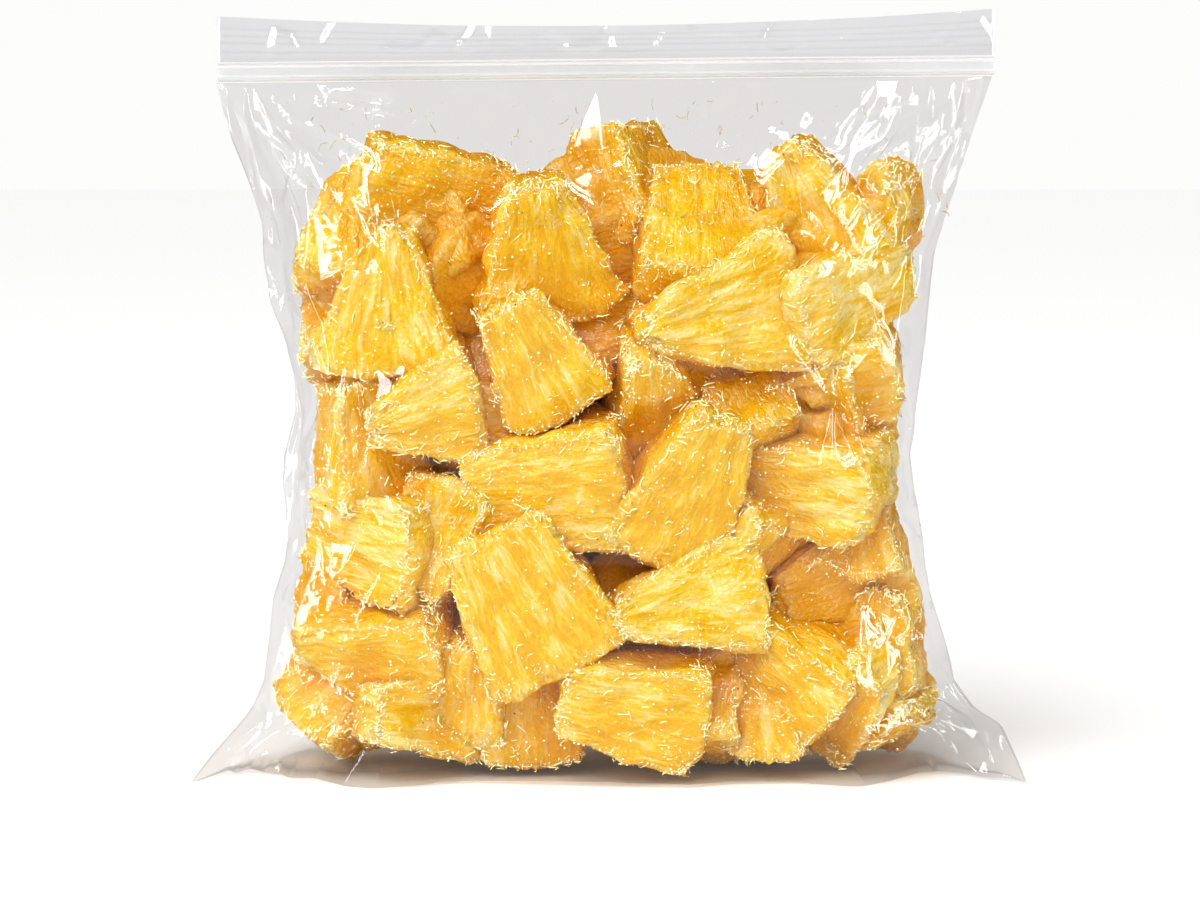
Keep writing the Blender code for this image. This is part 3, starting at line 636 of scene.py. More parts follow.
BACK_STARS = (
    *CORNER_STARS,
    (-0.0560, 0.1400, 0.020, 0.22, 11),
    (-0.0580, 0.1100, 0.016, 0.20, 11),
    (-0.0540, 0.0820, 0.017, 0.20, 11),
    (-0.0620, 0.0500, 0.014, 0.20, 11),
    (0.0600, 0.1420, 0.018, 0.22, 11),
    (0.0520, 0.1160, 0.016, 0.20, 11),
    (0.0600, 0.0880, 0.015, 0.20, 11),
    (0.0610, 0.0540, 0.013, 0.20, 11),
    (0.0300, 0.0200, 0.014, 0.15, 11),
    (-0.0300, 0.0240, 0.014, 0.15, 11),
)
STAR_SEED = 200
# Rows like these for the flat fins along both seams and the bottom corners, whose two sheets are
# creased as one. The stars of a fin lie one above another, a little inside the seam.
FIN_STAR_HEIGHTS = np.arange(0.022, 0.150, 0.0125)
FIN_STAR_INSET = 0.0025
FIN_STAR = (0.012, 0.24, 8)
FIN_STARS = [(0.0883, 0.0088, 0.018, 0.26, 11), (-0.0870, 0.0088, 0.018, 0.26, 11)]
for sign, seam in ((-1, SEAM_LINE[:, 1]), (1, SEAM_LINE[:, 2])):
    for z in FIN_STAR_HEIGHTS:
        x = np.interp(z, SEAM_LINE[:, 0], seam) - FIN_STAR_INSET
        FIN_STARS.append((sign * x, z, *FIN_STAR))
FIN_DEPTH = 0.003  # where the plain bag is deeper than this, its sheets aren't creased as one
CREASE_FADE = 0.004  # these creases die out this near the seal
# The film is crumpled into flat three-sided facets, two to a cell of a coarse grid.
FACET_COLUMNS = 28
FACET_ROWS = 12
FACET_ACROSS, FACET_UP = 10, 14  # cells of the fine grid along the two sides of a coarse cell
FACET_STRAY = 0.36  # how far a corner lies off the coarse grid, as a share of a cell
FACET_DEPTH = 0.0018  # usual height of a corner above the smooth film
FACET_RISE = 0.4  # mean height of the corners, as a share of the usual one
FACET_LEAST, FACET_MOST = -0.5, 2.0  # lowest and highest corner, as shares of it
HEAD_FACETS, FOOT_FACETS = 0.5, 0.8  # height of the facets there, as a share of the sides'
FACET_ROOM, FOLD_ROOM = 0.005, 0.006  # depths of film from which facets and folds are full size
EDGE_CROWD = 0.25  # how much the columns of facets crowd towards the seams
FIN_SWAY = 0.0028  # usual height of a corner of a fin beside the fruit, both sheets together
FIN_START, FIN_FULL = 0.90, 0.99  # where the fins begin, as shares of the way to the seam
FACET_LEAN = 0.5  # how much the columns of facets lean towards the ends of the seal
LEAN_START = 0.090
CAP_POWER = 14  # how late the film flattens as it nears the bag's half depth
FACET_SEED = 400
# The sheets wave to and fro near the seal: how far, radians along the seal, and phase.
WAVES = ((-0.0011, 11.0, 0.6), (0.00066, 23.0, 0.0))
SEAL_LENGTH = 0.178
FILM_MIRROR = 0.030  # share of the light that both faces of the film reflect straight back
FILM_GLANCE = 0.35  # share that they reflect where the film is seen edge on
MIRROR_POWER, TINT_POWER = 5.0, 4.0  # how near edge on the shine and the tint set in
RIPPLE_GRAIN, RIPPLE_BUMP = 160.0, 0.0006  # faint unevenness of the film, to a metre, and its height
FILM_CLEAR = (0.897, 0.893, 0.890, 1.0)
FILM_EDGE = (0.75, 0.74, 0.735, 1.0)


def seam_wave(x):
    """How far the sheets stand off the middle plane at the seal, towards +Y."""
    return sum(size * np.sin(x / SEAL_LENGTH * turns + phase) for size, turns, phase in WAVES)


def shifts(depth, steps, axis):
    """The raster moved along one axis by each step from -steps to steps, its rim repeated."""
    wide = np.pad(depth, [(steps, steps) if k == axis else (0, 0) for k in (0, 1)], "edge")
    cells = np.arange(depth.shape[axis])
    return [np.take(wide, cells + k, axis) for k in range(2 * steps + 1)]


def rolled(depth, reach, sign):
    """A parabola of radius SPAN_RADIUS slid over the raster: sign 1 grows it, -1 shrinks it."""
    steps = int(reach / CELL)
    best = np.maximum if sign > 0 else np.minimum
    for axis in (0, 1):
        out = depth
        for k, part in enumerate(shifts(depth, steps, axis), -steps):
            out = best(out, part - sign * (k * CELL) ** 2 / (2 * SPAN_RADIUS))
        depth = out
    return depth


def smoothed(depth, passes):
    """The raster after this many passes of a one, two, one filter each way."""
    for axis in (0, 1) * passes:
        before, here, after = shifts(depth, 1, axis)
        depth = 0.25 * before + 0.5 * here + 0.25 * after
    return depth


def smooth_step(value, low, high):
    """Rises smoothly from 0 at low to 1 at high."""
    t = np.clip((value - low) / (high - low), 0, 1)
    return t * t * (3 - 2 * t)


raster_x = np.arange(-0.1, 0.1 + CELL / 2, CELL)
raster_z = np.arange(0.0, BAG_TOP + 2 * CELL, CELL)


def raster_cell(x, z):
    """Row and column of the raster's cell nearest to each place."""
    row = np.clip(np.rint(z / CELL).astype(int), 0, len(raster_z) - 1)
    column = np.clip(np.rint((x - raster_x[0]) / CELL).astype(int), 0, len(raster_x) - 1)
    return row, column


def film_raster(side):
    """How far one sheet stands from the middle plane, drawn over the wedges on that side."""
    fruit = np.full((len(raster_z), len(raster_x)), DEEP)
    for points, *_ in heaps.values():
        np.maximum.at(fruit, raster_cell(points[:, 0], points[:, 2]), points[:, 1] * side)
    over = rolled(rolled(fruit, SPAN_REACH, 1), SPAN_REACH, -1)
    x, z = np.meshgrid(raster_x, raster_z)
    shell = shell_depth(x, z)
    above = z - PILE_TOP + PILE_FALL * np.abs(x) ** PILE_POWER
    middle = 1 - np.clip(np.abs(x) / station(z, WIDTH), 0, 1) ** SIDE_POWER
    slack = SIDE_SHARE - (SIDE_SHARE - SLACK_SHARE) * middle
    depth = np.minimum(np.maximum(over + WALL_CLEARANCE, slack * shell), film_limit(x, z))
    depth = np.maximum(depth, shell * smooth_step(above, -HEAD_BLEND, HEAD_BLEND))
    return smoothed(np.maximum(depth, 0), SMOOTH_PASSES)


def read_raster(raster, x, z):
    """The raster between its cells, by weights of the four cells round each point."""
    i = np.clip((z - raster_z[0]) / CELL, 0, len(raster_z) - 1.001)
    j = np.clip((x - raster_x[0]) / CELL, 0, len(raster_x) - 1.001)
    i0, j0 = i.astype(int), j.astype(int)
    u, v = i - i0, j - j0
    low = raster[i0, j0] * (1 - v) + raster[i0, j0 + 1] * v
    high = raster[i0 + 1, j0] * (1 - v) + raster[i0 + 1, j0 + 1] * v
    return low * (1 - u) + high * u


def seam_thickness(x, z, reach):
    """Half thickness of the flat seam, and of the puffed corner ears near the base."""
    inner = EAR_START * station(z, WIDTH)
    out = np.clip((np.abs(x) - inner) / (reach - inner), 0, 1)
    ear = EAR_ROOT_THICKNESS * np.clip(1 - z / EAR_HEIGHT, 0, 1) ** EAR_FALL
    puff = 1 + EAR_PUFF * np.sin(math.pi * out) * (out < 1)
    return SEAM_HALF_THICKNESS + ear * (1 - out) * puff


def folds(x, z, rows):
    """Height of straight folds. A fold is a crest from one point to another with two flat flanks.

    A row holds both ends, the width of the flank on the left of the way from the first end to
    the second, its slope, how much steeper the other flank is, and the share of the way at
    which the fold is widest.
    """
    height = np.zeros_like(x)
    for x0, z0, x1, z1, width, slope, steeper, widest in rows:
        length = math.hypot(x1 - x0, z1 - z0)
        dx, dz = (x1 - x0) / length, (z1 - z0) / length
        way = ((x - x0) * dx + (z - z0) * dz) / length
        aside = (z - z0) * dx - (x - x0) * dz
        taper = np.clip(np.minimum(way / widest, (1 - way) / (1 - widest)), 0, 1)
        flank = np.where(aside > 0, slope * aside, -slope * steeper * aside)
        height = np.maximum(height, slope * width * taper - flank)
    return height


def stars(x, z, rows, seed):
    """Pleats that run out from points: a zigzag of the angle round the point, times the distance.

    Their flanks are flat up to half of their reach, and fade out from there.
    """
    depth = np.zeros_like(x)
    for at_x, at_z, reach, slope, rays in rows:
        seed += 1
        chance = np.random.default_rng(seed)
        knots = np.sort(chance.uniform(-math.pi, math.pi, rays))
        heights = chance.uniform(0.4, 1.0, rays) * (-1.0) ** np.arange(rays)
        away = np.hypot(x - at_x, z - at_z)
        angle = np.arctan2(z - at_z, x - at_x)
        zigzag = np.interp(angle, knots, heights, period=2 * math.pi)
        depth += slope * away * zigzag * smooth_step(-away, -reach, -0.5 * reach)
    return depth


def slack_places(x, z):
    """Where the film isn't taut, from 0 to 1: at the sides, in the head and at the foot."""
    foot = 1 - smooth_step(z, *SLACK_FOOT)
    return smooth_step(np.abs(x), *SLACK_SIDE), smooth_step(z, *SLACK_HEAD), foot


def smooth_depth(x, z, raster):
    """How far one sheet stands from the middle plane before it is crumpled, seam included."""
    return np.maximum(read_raster(raster, x, z), seam_thickness(x, z, seam_reach(x, z)))


def flat_facets(corners, rising):
    """Values at the fine grid: flat triangles between the corners of the coarse grid.

    Each coarse cell is cut along one of its diagonals, and a place in it takes the weighted mean
    of the three corners round it.
    """
    rows, columns = corners.shape
    i, a = np.divmod(np.arange((columns - 1) * FACET_ACROSS + 1), FACET_ACROSS)
    j, b = np.divmod(np.arange((rows - 1) * FACET_UP + 1), FACET_UP)
    a = np.where(i == columns - 1, 1.0, a / FACET_ACROSS)
    b = np.where(j == rows - 1, 1.0, b / FACET_UP)
    i, j = np.minimum(i, columns - 2), np.minimum(j, rows - 2)
    (i, j), (a, b) = np.meshgrid(i, j), np.meshgrid(a, b)
    p00, p10, p01, p11 = corners[j, i], corners[j, i + 1], corners[j + 1, i], corners[j + 1, i + 1]
    low = np.where(a > b, p00 * (1 - a) + p10 * (a - b), p00 * (1 - b) + p01 * (b - a))
    low += p11 * np.minimum(a, b)
    near = p00 * (1 - a - b) + p10 * a + p01 * b
    high = np.where(a + b < 1, near, p11 * (a + b - 1) + p01 * (1 - a) + p10 * (1 - b))
    return np.where(rising[j, i], low, high)


def middle_bend(x, z):
    """How far the plane between the sheets bends towards +Y, at the seal, the ears and the fins."""
    top = np.clip((z - BEND_START) / (BAG_TOP - BEND_START), 0, 1)
    out = np.clip((np.abs(x) - EAR_ROOT) / (SEAM_LINE[0, 2] - EAR_ROOT), 0, 1)
    low = np.clip(1 - z / EAR_HEIGHT, 0, 1)
    fin = 1 - smooth_step(shell_depth(x, z), SEAM_HALF_THICKNESS, FIN_DEPTH)
    fade = fin * smooth_step(BAG_TOP - z, 0, CREASE_FADE)
    creases = fade * stars(x, z, FIN_STARS, STAR_SEED + 200)
    return seam_wave(x) * top * top - EAR_FORWARD * out * out * low + creases


def base_lift(share, z):
    """How far the base is drawn up: straight slopes from the two low lines that it stands on."""
    return BASE_LIFT * np.abs(np.abs(share) / FOOT_SHARE - 1) * np.clip(1 - z / BASE_FADE, 0, 1)


def flat_sheet(side, raster):
    """X, height, depth and sway of one sheet of the bag before it is bent, from seam to seam.

    The corners of the facets stray from an even grid and stand off the smooth film at random.
    Where the bag is taut the smooth film shows instead. A high power of the depth, through tanh,
    keeps it just inside the bag's half depth. The sway moves both sheets of a fin as one.
    """
    chance = np.random.default_rng(FACET_SEED)
    s, v = np.meshgrid(np.linspace(-1, 1, FACET_COLUMNS + 1), np.linspace(0, 1, FACET_ROWS + 1))
    stray = FACET_STRAY * chance.uniform(-1, 1, (2, *s.shape))
    stray[:, :, [0, -1]] = 0.0
    stray[1][[0, -1]] = 0.0
    s, v = s + stray[0] * 2 / FACET_COLUMNS, v + stray[1] / FACET_ROWS
    u, z = (1 - EDGE_CROWD) * s + EDGE_CROWD * np.sin(s * math.pi / 2), BAG_TOP * v
    u = u * (1 + FACET_LEAN * (1 - np.abs(u)) * smooth_step(z, LEAN_START, BAG_TOP))
    x = u * seam_reach(u, z)
    room = smooth_step(smooth_depth(x, z, raster), SEAM_HALF_THICKNESS, FACET_ROOM)
    sway = FIN_SWAY * chance.normal(size=x.shape) * smooth_step(np.abs(u), FIN_START, FIN_FULL)
    rising = chance.uniform(size=x.shape) < 0.5
    chance = np.random.default_rng(FACET_SEED + side)
    proud = np.clip(chance.normal(FACET_RISE, 1.0, x.shape), FACET_LEAST, FACET_MOST)
    sides, head, foot = slack_places(x, z)
    proud *= np.max((sides, HEAD_FACETS * head, FOOT_FACETS * foot), 0)
    corner = smooth_depth(x, z, raster) + FACET_DEPTH * room * proud
    u, z, crumpled, sway = (flat_facets(values, rising) for values in (u, z, corner, sway))
    x = u * seam_reach(u, z)
    smooth = smooth_depth(x, z, raster)
    room = smooth_step(smooth, SEAM_HALF_THICKNESS, FOLD_ROOM)
    depth = smooth + (crumpled - smooth) * np.max(slack_places(x, z), 0)
    depth += room * folds(x, z, FRONT_FOLDS if side < 0 else BACK_FOLDS)
    depth += room * stars(x, z, FRONT_STARS if side < 0 else BACK_STARS, STAR_SEED + 50 * side)
    depth = np.maximum(depth, SEAM_HALF_THICKNESS)
    depth = HALF_DEPTH * np.tanh((depth / HALF_DEPTH) ** CAP_POWER) ** (1 / CAP_POWER)
    depth[:, [0, -1]] = 0.0
    return x, z, depth, sway


def inner_raster(x, z, depth, _):
    """The least depth of a sheet at each cell of the raster, so that nothing stands through it."""
    found = np.full((len(raster_z), len(raster_x)), np.inf)
    np.minimum.at(found, raster_cell(x, z), depth)
    for axis in (0, 1):
        near = np.minimum(np.roll(found, 1, axis), np.roll(found, -1, axis))
        found = np.where(np.isfinite(found), found, near)
    return np.where(np.isfinite(found), found, 0.0)


def bent_height(x, z):
    """Height in the finished bag, with the seal tilted and the base drawn up."""
    return z * (1 + SEAL_TILT * x) + base_lift(x / seam_reach(x, z), z)


def bent_sheet(side, x, z, depth, sway):
    """Grid of points on one sheet, bent at the seal, the ears and the base, and tilted."""
    return np.stack((x, side * depth + middle_bend(x, z) + sway, bent_height(x, z)), 2)


def paired_sheets(front, back):
    """Points and quads of a closed skin: the front sheet, the back sheet, and walls round them."""
    rows, columns = front.shape[0] - 1, front.shape[1] - 1
    count = front.shape[0] * front.shape[1]
    quads = [grid_quads(rows, columns, 0, False), grid_quads(rows, columns, count, True)]
    index = np.arange(count).reshape(rows + 1, columns + 1)
    rim = (index[0], index[1:, -1], index[-1, -2::-1], index[-2:0:-1, 0], index[0, :1])
    rim = np.concatenate(rim)
    a, b = rim[:-1], rim[1:]
    quads.append(np.stack((b, a, a + count, b + count), 1))
    return np.concatenate((front.reshape(-1, 3), back.reshape(-1, 3))), np.concatenate(quads)


def welded(points, quads):
    """The same skin with points that lie in one place made one."""
    points, index = merged(points)
    quads = index[quads]
    whole = np.all([quads[:, a] != quads[:, b] for a, b in ((0, 3), (1, 2), (0, 1))], 0)
    return points, quads[whole]


def film_material(name, clear, edge, rough=0.05, rib=None):
    """Clear film: lets most light through, a little less where it is seen edge on, and shines.

    Where it has ribs, the attribute rib says where the film is thick and milky.
    """
    material, tree, solid = new_material(name)
    tree.nodes.remove(solid)
    place = node(tree, "TexCoord", output=3)
    ripple = node(tree, "TexNoise", {"Vector": place, "Scale": RIPPLE_GRAIN, "Detail": 2.0})
    normal = node(tree, "Bump", {"Height": ripple, "Strength": 0.04, "Distance": RIPPLE_BUMP})
    grazing = node(tree, "LayerWeight", {"Blend": 0.5, "Normal": normal}, 1)
    if rib:
        thick = node(tree, "Attribute", output=2, attribute_name="rib")
        clear = mixed_colour(tree, thick, clear, rib)
    tint = mixed_colour(tree, math_node(tree, "POWER", grazing, TINT_POWER), clear, edge)
    through = node(tree, "BsdfTransparent", {"Color": tint})
    shine = node(tree, "BsdfGlossy", {"Roughness": rough, "Normal": normal})
    steep = math_node(tree, "POWER", grazing, MIRROR_POWER)
    mirror = math_node(tree, "MULTIPLY_ADD", steep, FILM_GLANCE - FILM_MIRROR, FILM_MIRROR)
    both = node(tree, "MixShader", {0: mirror, 1: through, 2: shine})
    tree.links.new(both, tree.nodes["Material Output"].inputs["Surface"])
    return material


front_sheet, back_sheet = flat_sheet(-1, film_raster(-1)), flat_sheet(1, film_raster(1))
front_limit, back_limit = inner_raster(*front_sheet), inner_raster(*back_sheet)
film_points, film_quads = welded(
    *paired_sheets(bent_sheet(-1, *front_sheet), bent_sheet(1, *back_sheet))
)
clear_film = film_material("clear_polythene", FILM_CLEAR, FILM_EDGE)
film = add_piece("bag_film", film_points, film_quads, clear_film, "clear_film")
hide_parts("bag")


def inside_film(points, clearance):
    """Points of the upright bag held inside both sheets, then bent and tilted as the bag is."""
    x, z = points[:, 0], points[:, 2]
    front = read_raster(front_limit, x, z) - clearance
    back = read_raster(back_limit, x, z) - clearance
    y = np.clip(points[:, 1], -front, back) + middle_bend(x, z)
    return np.stack((x, y, np.maximum(bent_height(x, z), clearance)), 1)


def painted_shade_share(points):
    """How far points lie behind the nearer sheet, from 0 at the film to 1 where the painted shade is
    full.
    """
    x, y, z = points.T
    gap = np.minimum(read_raster(front_limit, x, z) + y, read_raster(back_limit, x, z) - y)
    return np.clip((gap - SHADE_PAINT_FROM) / (SHADE_PAINT_TO - SHADE_PAINT_FROM), 0, 1)


for name, (points, quads, fibres, cuts, _) in heaps.items():
    wedges = inside_film(points, FRUIT_CLEARANCE)
    # the third value of cut is the share of painted shade, deep behind the film
    cut = np.column_stack((cuts, painted_shade_share(points)))
    add_piece(name, wedges, quads, pineapple, "fruit", fibre=fibres, cut=cut)


# Frost and loose fibres. The knife tears fine threads of fruit free, which dry white in the cold,
# and grains of ice and juice sit on the cut edges. A few dark specks of peel stay on the fruit.
THREAD_COUNT = {"front": 7500, "back": 1800}
THREAD_LENGTH = (0.0006, 0.0036)
THREAD_RADIUS = (0.00008, 0.00018)
THREAD_BEND = 1.0
THREAD_RISE = 0.0009
THREAD_STRAY = 0.9  # how far a thread's way strays from the fibres' way
THREAD_RINGS = (0.0, 0.2, 0.55, 0.85, 1.0)  # shares of its length; it ends in a point at both ends
THREAD_PLAIN = 0.30  # how likely a place on a plain face is, against 1 on an edge
GRAIN_COUNT = {"front": 20000, "back": 3500}
GRAIN_RADIUS = (0.00009, 0.00030)
GRAIN_PLAIN = 0.60
GRAIN_STRETCH = (0.7, 1.4)
SPECK_COUNT = 150
SPECK_RADIUS = (0.00010, 0.00026)
SPECK_PLAIN = 0.4
UPWARD_SHARE = 0.5  # how much a place that looks up or down counts as one that looks out of the bag
FACING_START = 0.2  # bits start to lie on faces that look this little into the bag
FROST_CLEARANCE = 0.0001
FROST_SEED = 300
FIBRE_CREAM = (1.0, 0.87, 0.50, 1.0)
FROST_WHITE = (1.0, 0.93, 0.70, 1.0)
PEEL_BROWN = (0.14, 0.055, 0.012, 1.0)
DIMMED = (0.85, 0.85, 0.66, 1.0)  # share of each colour that the darkest bits keep
CLOUD_GRAIN = 180.0
RING = np.radians((90, 210, 330))


def unit(vectors):
    """The same vectors with a length of one."""
    return vectors / np.maximum(np.linalg.norm(vectors, axis=1), 1e-9)[:, None]


def surface_normals(points, quads):
    """Normals at the points: the sum of the cross products of the diagonals of the quads there."""
    corners = points[quads]
    across = np.cross(corners[:, 2] - corners[:, 0], corners[:, 3] - corners[:, 1])
    normals = np.zeros_like(points)
    for k in range(4):
        np.add.at(normals, quads[:, k], across)
    return unit(normals)


def sites(side, count, plain_share, chance):
    """Random points of the wedges on one side: places, normals and fibre ways.

    Edges are likelier than the plain faces, and faces that look out of the bag than the others.
    """
    names = [name for name in heaps if name.startswith("chunks_" + side)]
    found = [heaps[name] for name in names]
    places = np.concatenate([points for points, *_ in found])
    normals = np.concatenate([surface_normals(points, quads) for points, quads, *_ in found])
    edges = np.concatenate([cuts[:, 1] for *_, cuts, _ in found])
    ways = np.concatenate([way for *_, way in found])
    outward = normals[:, 1] * (-1 if side == "front" else 1) + UPWARD_SHARE * np.abs(normals[:, 2])
    weight = (plain_share + edges) * np.clip(outward + FACING_START, 0.0, 1.0 + FACING_START)
    picked = chance.choice(len(places), count, replace=False, p=weight / weight.sum())
    return places[picked], normals[picked], ways[picked]


def joined(points, faces):
    """One mesh of many like shapes, from the points of each shape and the faces of the first."""
    first = points.shape[1] * np.arange(len(points))
    return points.reshape(-1, 3), (np.array(faces) + first[:, None, None]).reshape(-1, 3)


def threads(places, normals, ways, chance):
    """Thin curved tubes with three sides that end in points, one at each place.

    The middle line runs along the fibres and a random way, bends aside as the square of the
    distance from its middle, and rises off the surface towards one end.
    """
    n = len(places)
    length = chance.uniform(*THREAD_LENGTH, n)
    along = unit(ways + THREAD_STRAY * chance.normal(size=(n, 3)))
    along = unit(along - normals * (along * normals).sum(1)[:, None])
    aside = np.cross(normals, along)
    bend = THREAD_BEND * chance.normal(size=n)
    rise = THREAD_RISE * chance.uniform(0, 1, n) ** 2
    radius = chance.uniform(*THREAD_RADIUS, n)
    ring = normals[:, None] * np.sin(RING)[:, None] + aside[:, None] * np.cos(RING)[:, None]
    rows = []
    for t in THREAD_RINGS:
        line = places + along * (length * (t - 0.5))[:, None]
        line += aside * (bend * length * (t - 0.5) ** 2)[:, None]
        line += normals * (radius + rise * t)[:, None]
        end = t in (THREAD_RINGS[0], THREAD_RINGS[-1])
        rows.append(line[:, None] if end else line[:, None] + ring * radius[:, None, None])
    faces = []
    for k in range(3):
        j = (k + 1) % 3
        faces += [(0, 1 + k, 1 + j), (10, 7 + j, 7 + k)]
        for low in (1, 4):
            faces += [(low + k, low + 3 + k, low + j), (low + j, low + 3 + k, low + 3 + j)]
    return joined(np.concatenate(rows, 1), faces)


def grains(places, normals, radius_range, chance):
    """Small eight-sided grains, each turned at random and stretched a little, at each place."""
    n = len(places)
    radii = chance.uniform(*radius_range, n)
    axes = np.linalg.qr(chance.normal(size=(n, 3, 3)))[0]
    axes *= np.linalg.det(axes)[:, None, None]
    axes = axes * (radii * chance.uniform(*GRAIN_STRETCH, n))[:, None, None]
    middle = (places + normals * (0.5 * radii)[:, None])[:, None]
    faces = []
    for a in (0, 3):
        for b in (1, 4):
            for c in (2, 5):
                faces.append((a, b, c) if (a + b + c) % 2 else (a, c, b))
    return joined(np.concatenate((middle + axes, middle - axes), 1), faces)


def frost_material(name, colour, rough):
    """Frosted or wet bits of fruit, a little lighter and darker from bit to bit."""
    material, tree, skin = new_material(name)
    place = node(tree, "TexCoord", output=3)
    cloud = node(tree, "TexNoise", {"Vector": place, "Scale": CLOUD_GRAIN, "Detail": 2.0})
    dim = [share * value for share, value in zip(DIMMED, colour)]
    tree.links.new(mixed_colour(tree, cloud, dim, colour), skin.inputs["Base Color"])
    skin.inputs["Roughness"].default_value = rough
    return material


def add_bits(name, bits, material):
    """Adds the points and faces of scattered bits as one mesh, held inside the film."""
    points, faces = bits
    add_piece(name, inside_film(points, FROST_CLEARANCE), faces, material, "fruit")


torn = frost_material("torn_fibre", FIBRE_CREAM, rough=0.18)
frost = frost_material("ice_grain", FROST_WHITE, rough=0.12)
peel = frost_material("dark_peel", PEEL_BROWN, rough=0.5)
for side in ("front", "back"):
    chance = np.random.default_rng(FROST_SEED + (side == "back"))
    places, normals, ways = sites(side, THREAD_COUNT[side], THREAD_PLAIN, chance)
    add_bits("frost_threads_" + side, threads(places, normals, ways, chance), torn)
    places, normals, _ = sites(side, GRAIN_COUNT[side], GRAIN_PLAIN, chance)
    add_bits("frost_grains_" + side, grains(places, normals, GRAIN_RADIUS, chance), frost)
chance = np.random.default_rng(FROST_SEED + 2)
places, normals, _ = sites("front", SPECK_COUNT, SPECK_PLAIN, chance)
add_bits("peel_specks", grains(places, normals, SPECK_RADIUS, chance), peel)


# Juice on the inside of the film. Fine droplets and short threads of fruit cling to the empty
# head of the bag, where the chunks brushed past when the bag was filled.
DROP_COUNT, DROP_RADIUS = 700, (0.00006, 0.00020)
CLING_COUNT = 150
HEAD_LOW, HEAD_HIGH, HEAD_REACH = 0.128, 0.156, 0.080
HEAD_CROWD = 1.4  # power by which they crowd towards the fruit
JUICE_TAN = (0.80, 0.62, 0.42, 1.0)


def head_sites(count, chance):
    """Random places on the inside of the front sheet in the head, their normals and random ways."""
    x = chance.uniform(-HEAD_REACH, HEAD_REACH, count)
    z = HEAD_LOW + (HEAD_HIGH - HEAD_LOW) * chance.uniform(0, 1, count) ** HEAD_CROWD
    y = FRUIT_CLEARANCE - read_raster(front_limit, x, z)
    ways = np.stack((chance.normal(size=count), np.zeros(count), chance.normal(size=count)), 1)
    return np.stack((x, y, z), 1), np.tile((0.0, 1.0, 0.0), (count, 1)), ways


juice = frost_material("dried_juice", JUICE_TAN, rough=0.25)
chance = np.random.default_rng(FROST_SEED + 3)
places, normals, _ = head_sites(DROP_COUNT, chance)
add_bits("head_droplets", grains(places, normals, DROP_RADIUS, chance), frost)
add_bits("head_threads", threads(*head_sites(CLING_COUNT, chance), chance), juice)


# Press seal. Two extruded rails of the same clear plastic as the bag, thicker than the film, with
# a rib on one that snaps into a groove in the other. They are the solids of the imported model.
RAIL_HEIGHT = 0.0042
GAP = 0.0003
RAIL_WHITE = (0.81, 0.82, 0.83, 1.0)
PAINTED_RAIL_SHADE = (0.68, 0.63, 0.59, 1.0)  # painted shade: the darker line that refraction in the clear rail shows along each side of it
RAIL_BANDS = ((0.07, PAINTED_RAIL_SHADE), (0.14, RAIL_WHITE), (0.86, RAIL_WHITE), (0.93, PAINTED_RAIL_SHADE))
DRAWN_GRAIN = (20.0, 900.0, 900.0)  # lines that the die drew, to a metre along and across the rail
DRAWN_BUMP = 0.0003
RAIL_ROUGH, RAIL_ALPHA = 0.16, 0.42


def seal_material():
    """Clear extruded plastic, a little milky, with a painted line of shade along both edges of a
    rail.
    """
    material, tree, skin = new_material("seal_plastic")
    place = node(tree, "TexCoord", output=3)
    across = node(tree, "SeparateXYZ", {0: place}, 0).node
    rise = math_node(tree, "MULTIPLY_ADD", across.outputs[0], SEAL_TILT, 1.0)
    level = math_node(tree, "DIVIDE", across.outputs[2], rise)
    share = math_node(tree, "MULTIPLY_ADD", level, 1 / RAIL_HEIGHT, -(BAG_TOP + GAP) / RAIL_HEIGHT)
    # painted shade: darker bands along both edges of each rail
    tree.links.new(colour_ramp(tree, share, RAIL_BANDS), skin.inputs["Base Color"])
    drawn = node(tree, "Mapping", {"Vector": place, "Scale": DRAWN_GRAIN})
    lines = node(tree, "TexNoise", {"Vector": drawn, "Scale": 1.0, "Detail": 2.0})
    normal = node(tree, "Bump", {"Height": lines, "Strength": 0.15, "Distance": DRAWN_BUMP})
    tree.links.new(normal, skin.inputs["Normal"])
    skin.inputs["Roughness"].default_value = RAIL_ROUGH
    skin.inputs["Alpha"].default_value = RAIL_ALPHA
    return material


rail_plastic = seal_material()
for name in ("seal_rail_front", "seal_rail_back"):
    frame["nodes"][name].data.materials.clear()
    frame["nodes"][name].data.materials.append(rail_plastic)


# Lips. The two ends of the film above the seal, which are pulled apart to open the bag. Each is
# a thin sheet with four fine ribs to grip and a few dents from handling.
STANDING_HEIGHT = 0.1757
LIP_FILM = 0.00025
LIP_FLARE = 0.0012
FLARE_WAVE = (0.6, 0.4, 9)  # mean and swing of the flare along the lip, and radians in its length
LIP_SAG = 0.0030
LIP_RIBS = (0.22, 0.42, 0.58, 0.74)
RIB_PROUD = 0.00006
LIP_COLUMNS = 240
LIP_ROWS = 44
LIP_CLEAR = (0.950, 0.950, 0.955, 1.0)
LIP_EDGE = (0.72, 0.72, 0.73, 1.0)
RIB_CLEAR = (0.935, 0.935, 0.94, 1.0)
RIB_WIDTH = 0.028
DENT_COUNT = 46
DENT_BOX = ((-0.09, 0.160), (0.09, 0.180))
DENT_SLOPE = 0.36
DENT_FADE = (0.05, 0.4)  # shares of the lip's height between which the dents become full size
DENT_FLOOR, DENT_MOST = 0.0006, 0.0012  # what is taken off a dent, and the highest that is left
LIP_SEED = 125


def nearest_square(u, v, chance, count, box):
    """Squared distance to the nearest of some random points in a box of u and v."""
    low, high = box
    spots = chance.uniform(low, high, (count, 2))
    best = np.full(u.shape, np.inf)
    for spot in spots:
        best = np.minimum(best, (u - spot[0]) ** 2 + (v - spot[1]) ** 2)
    return best


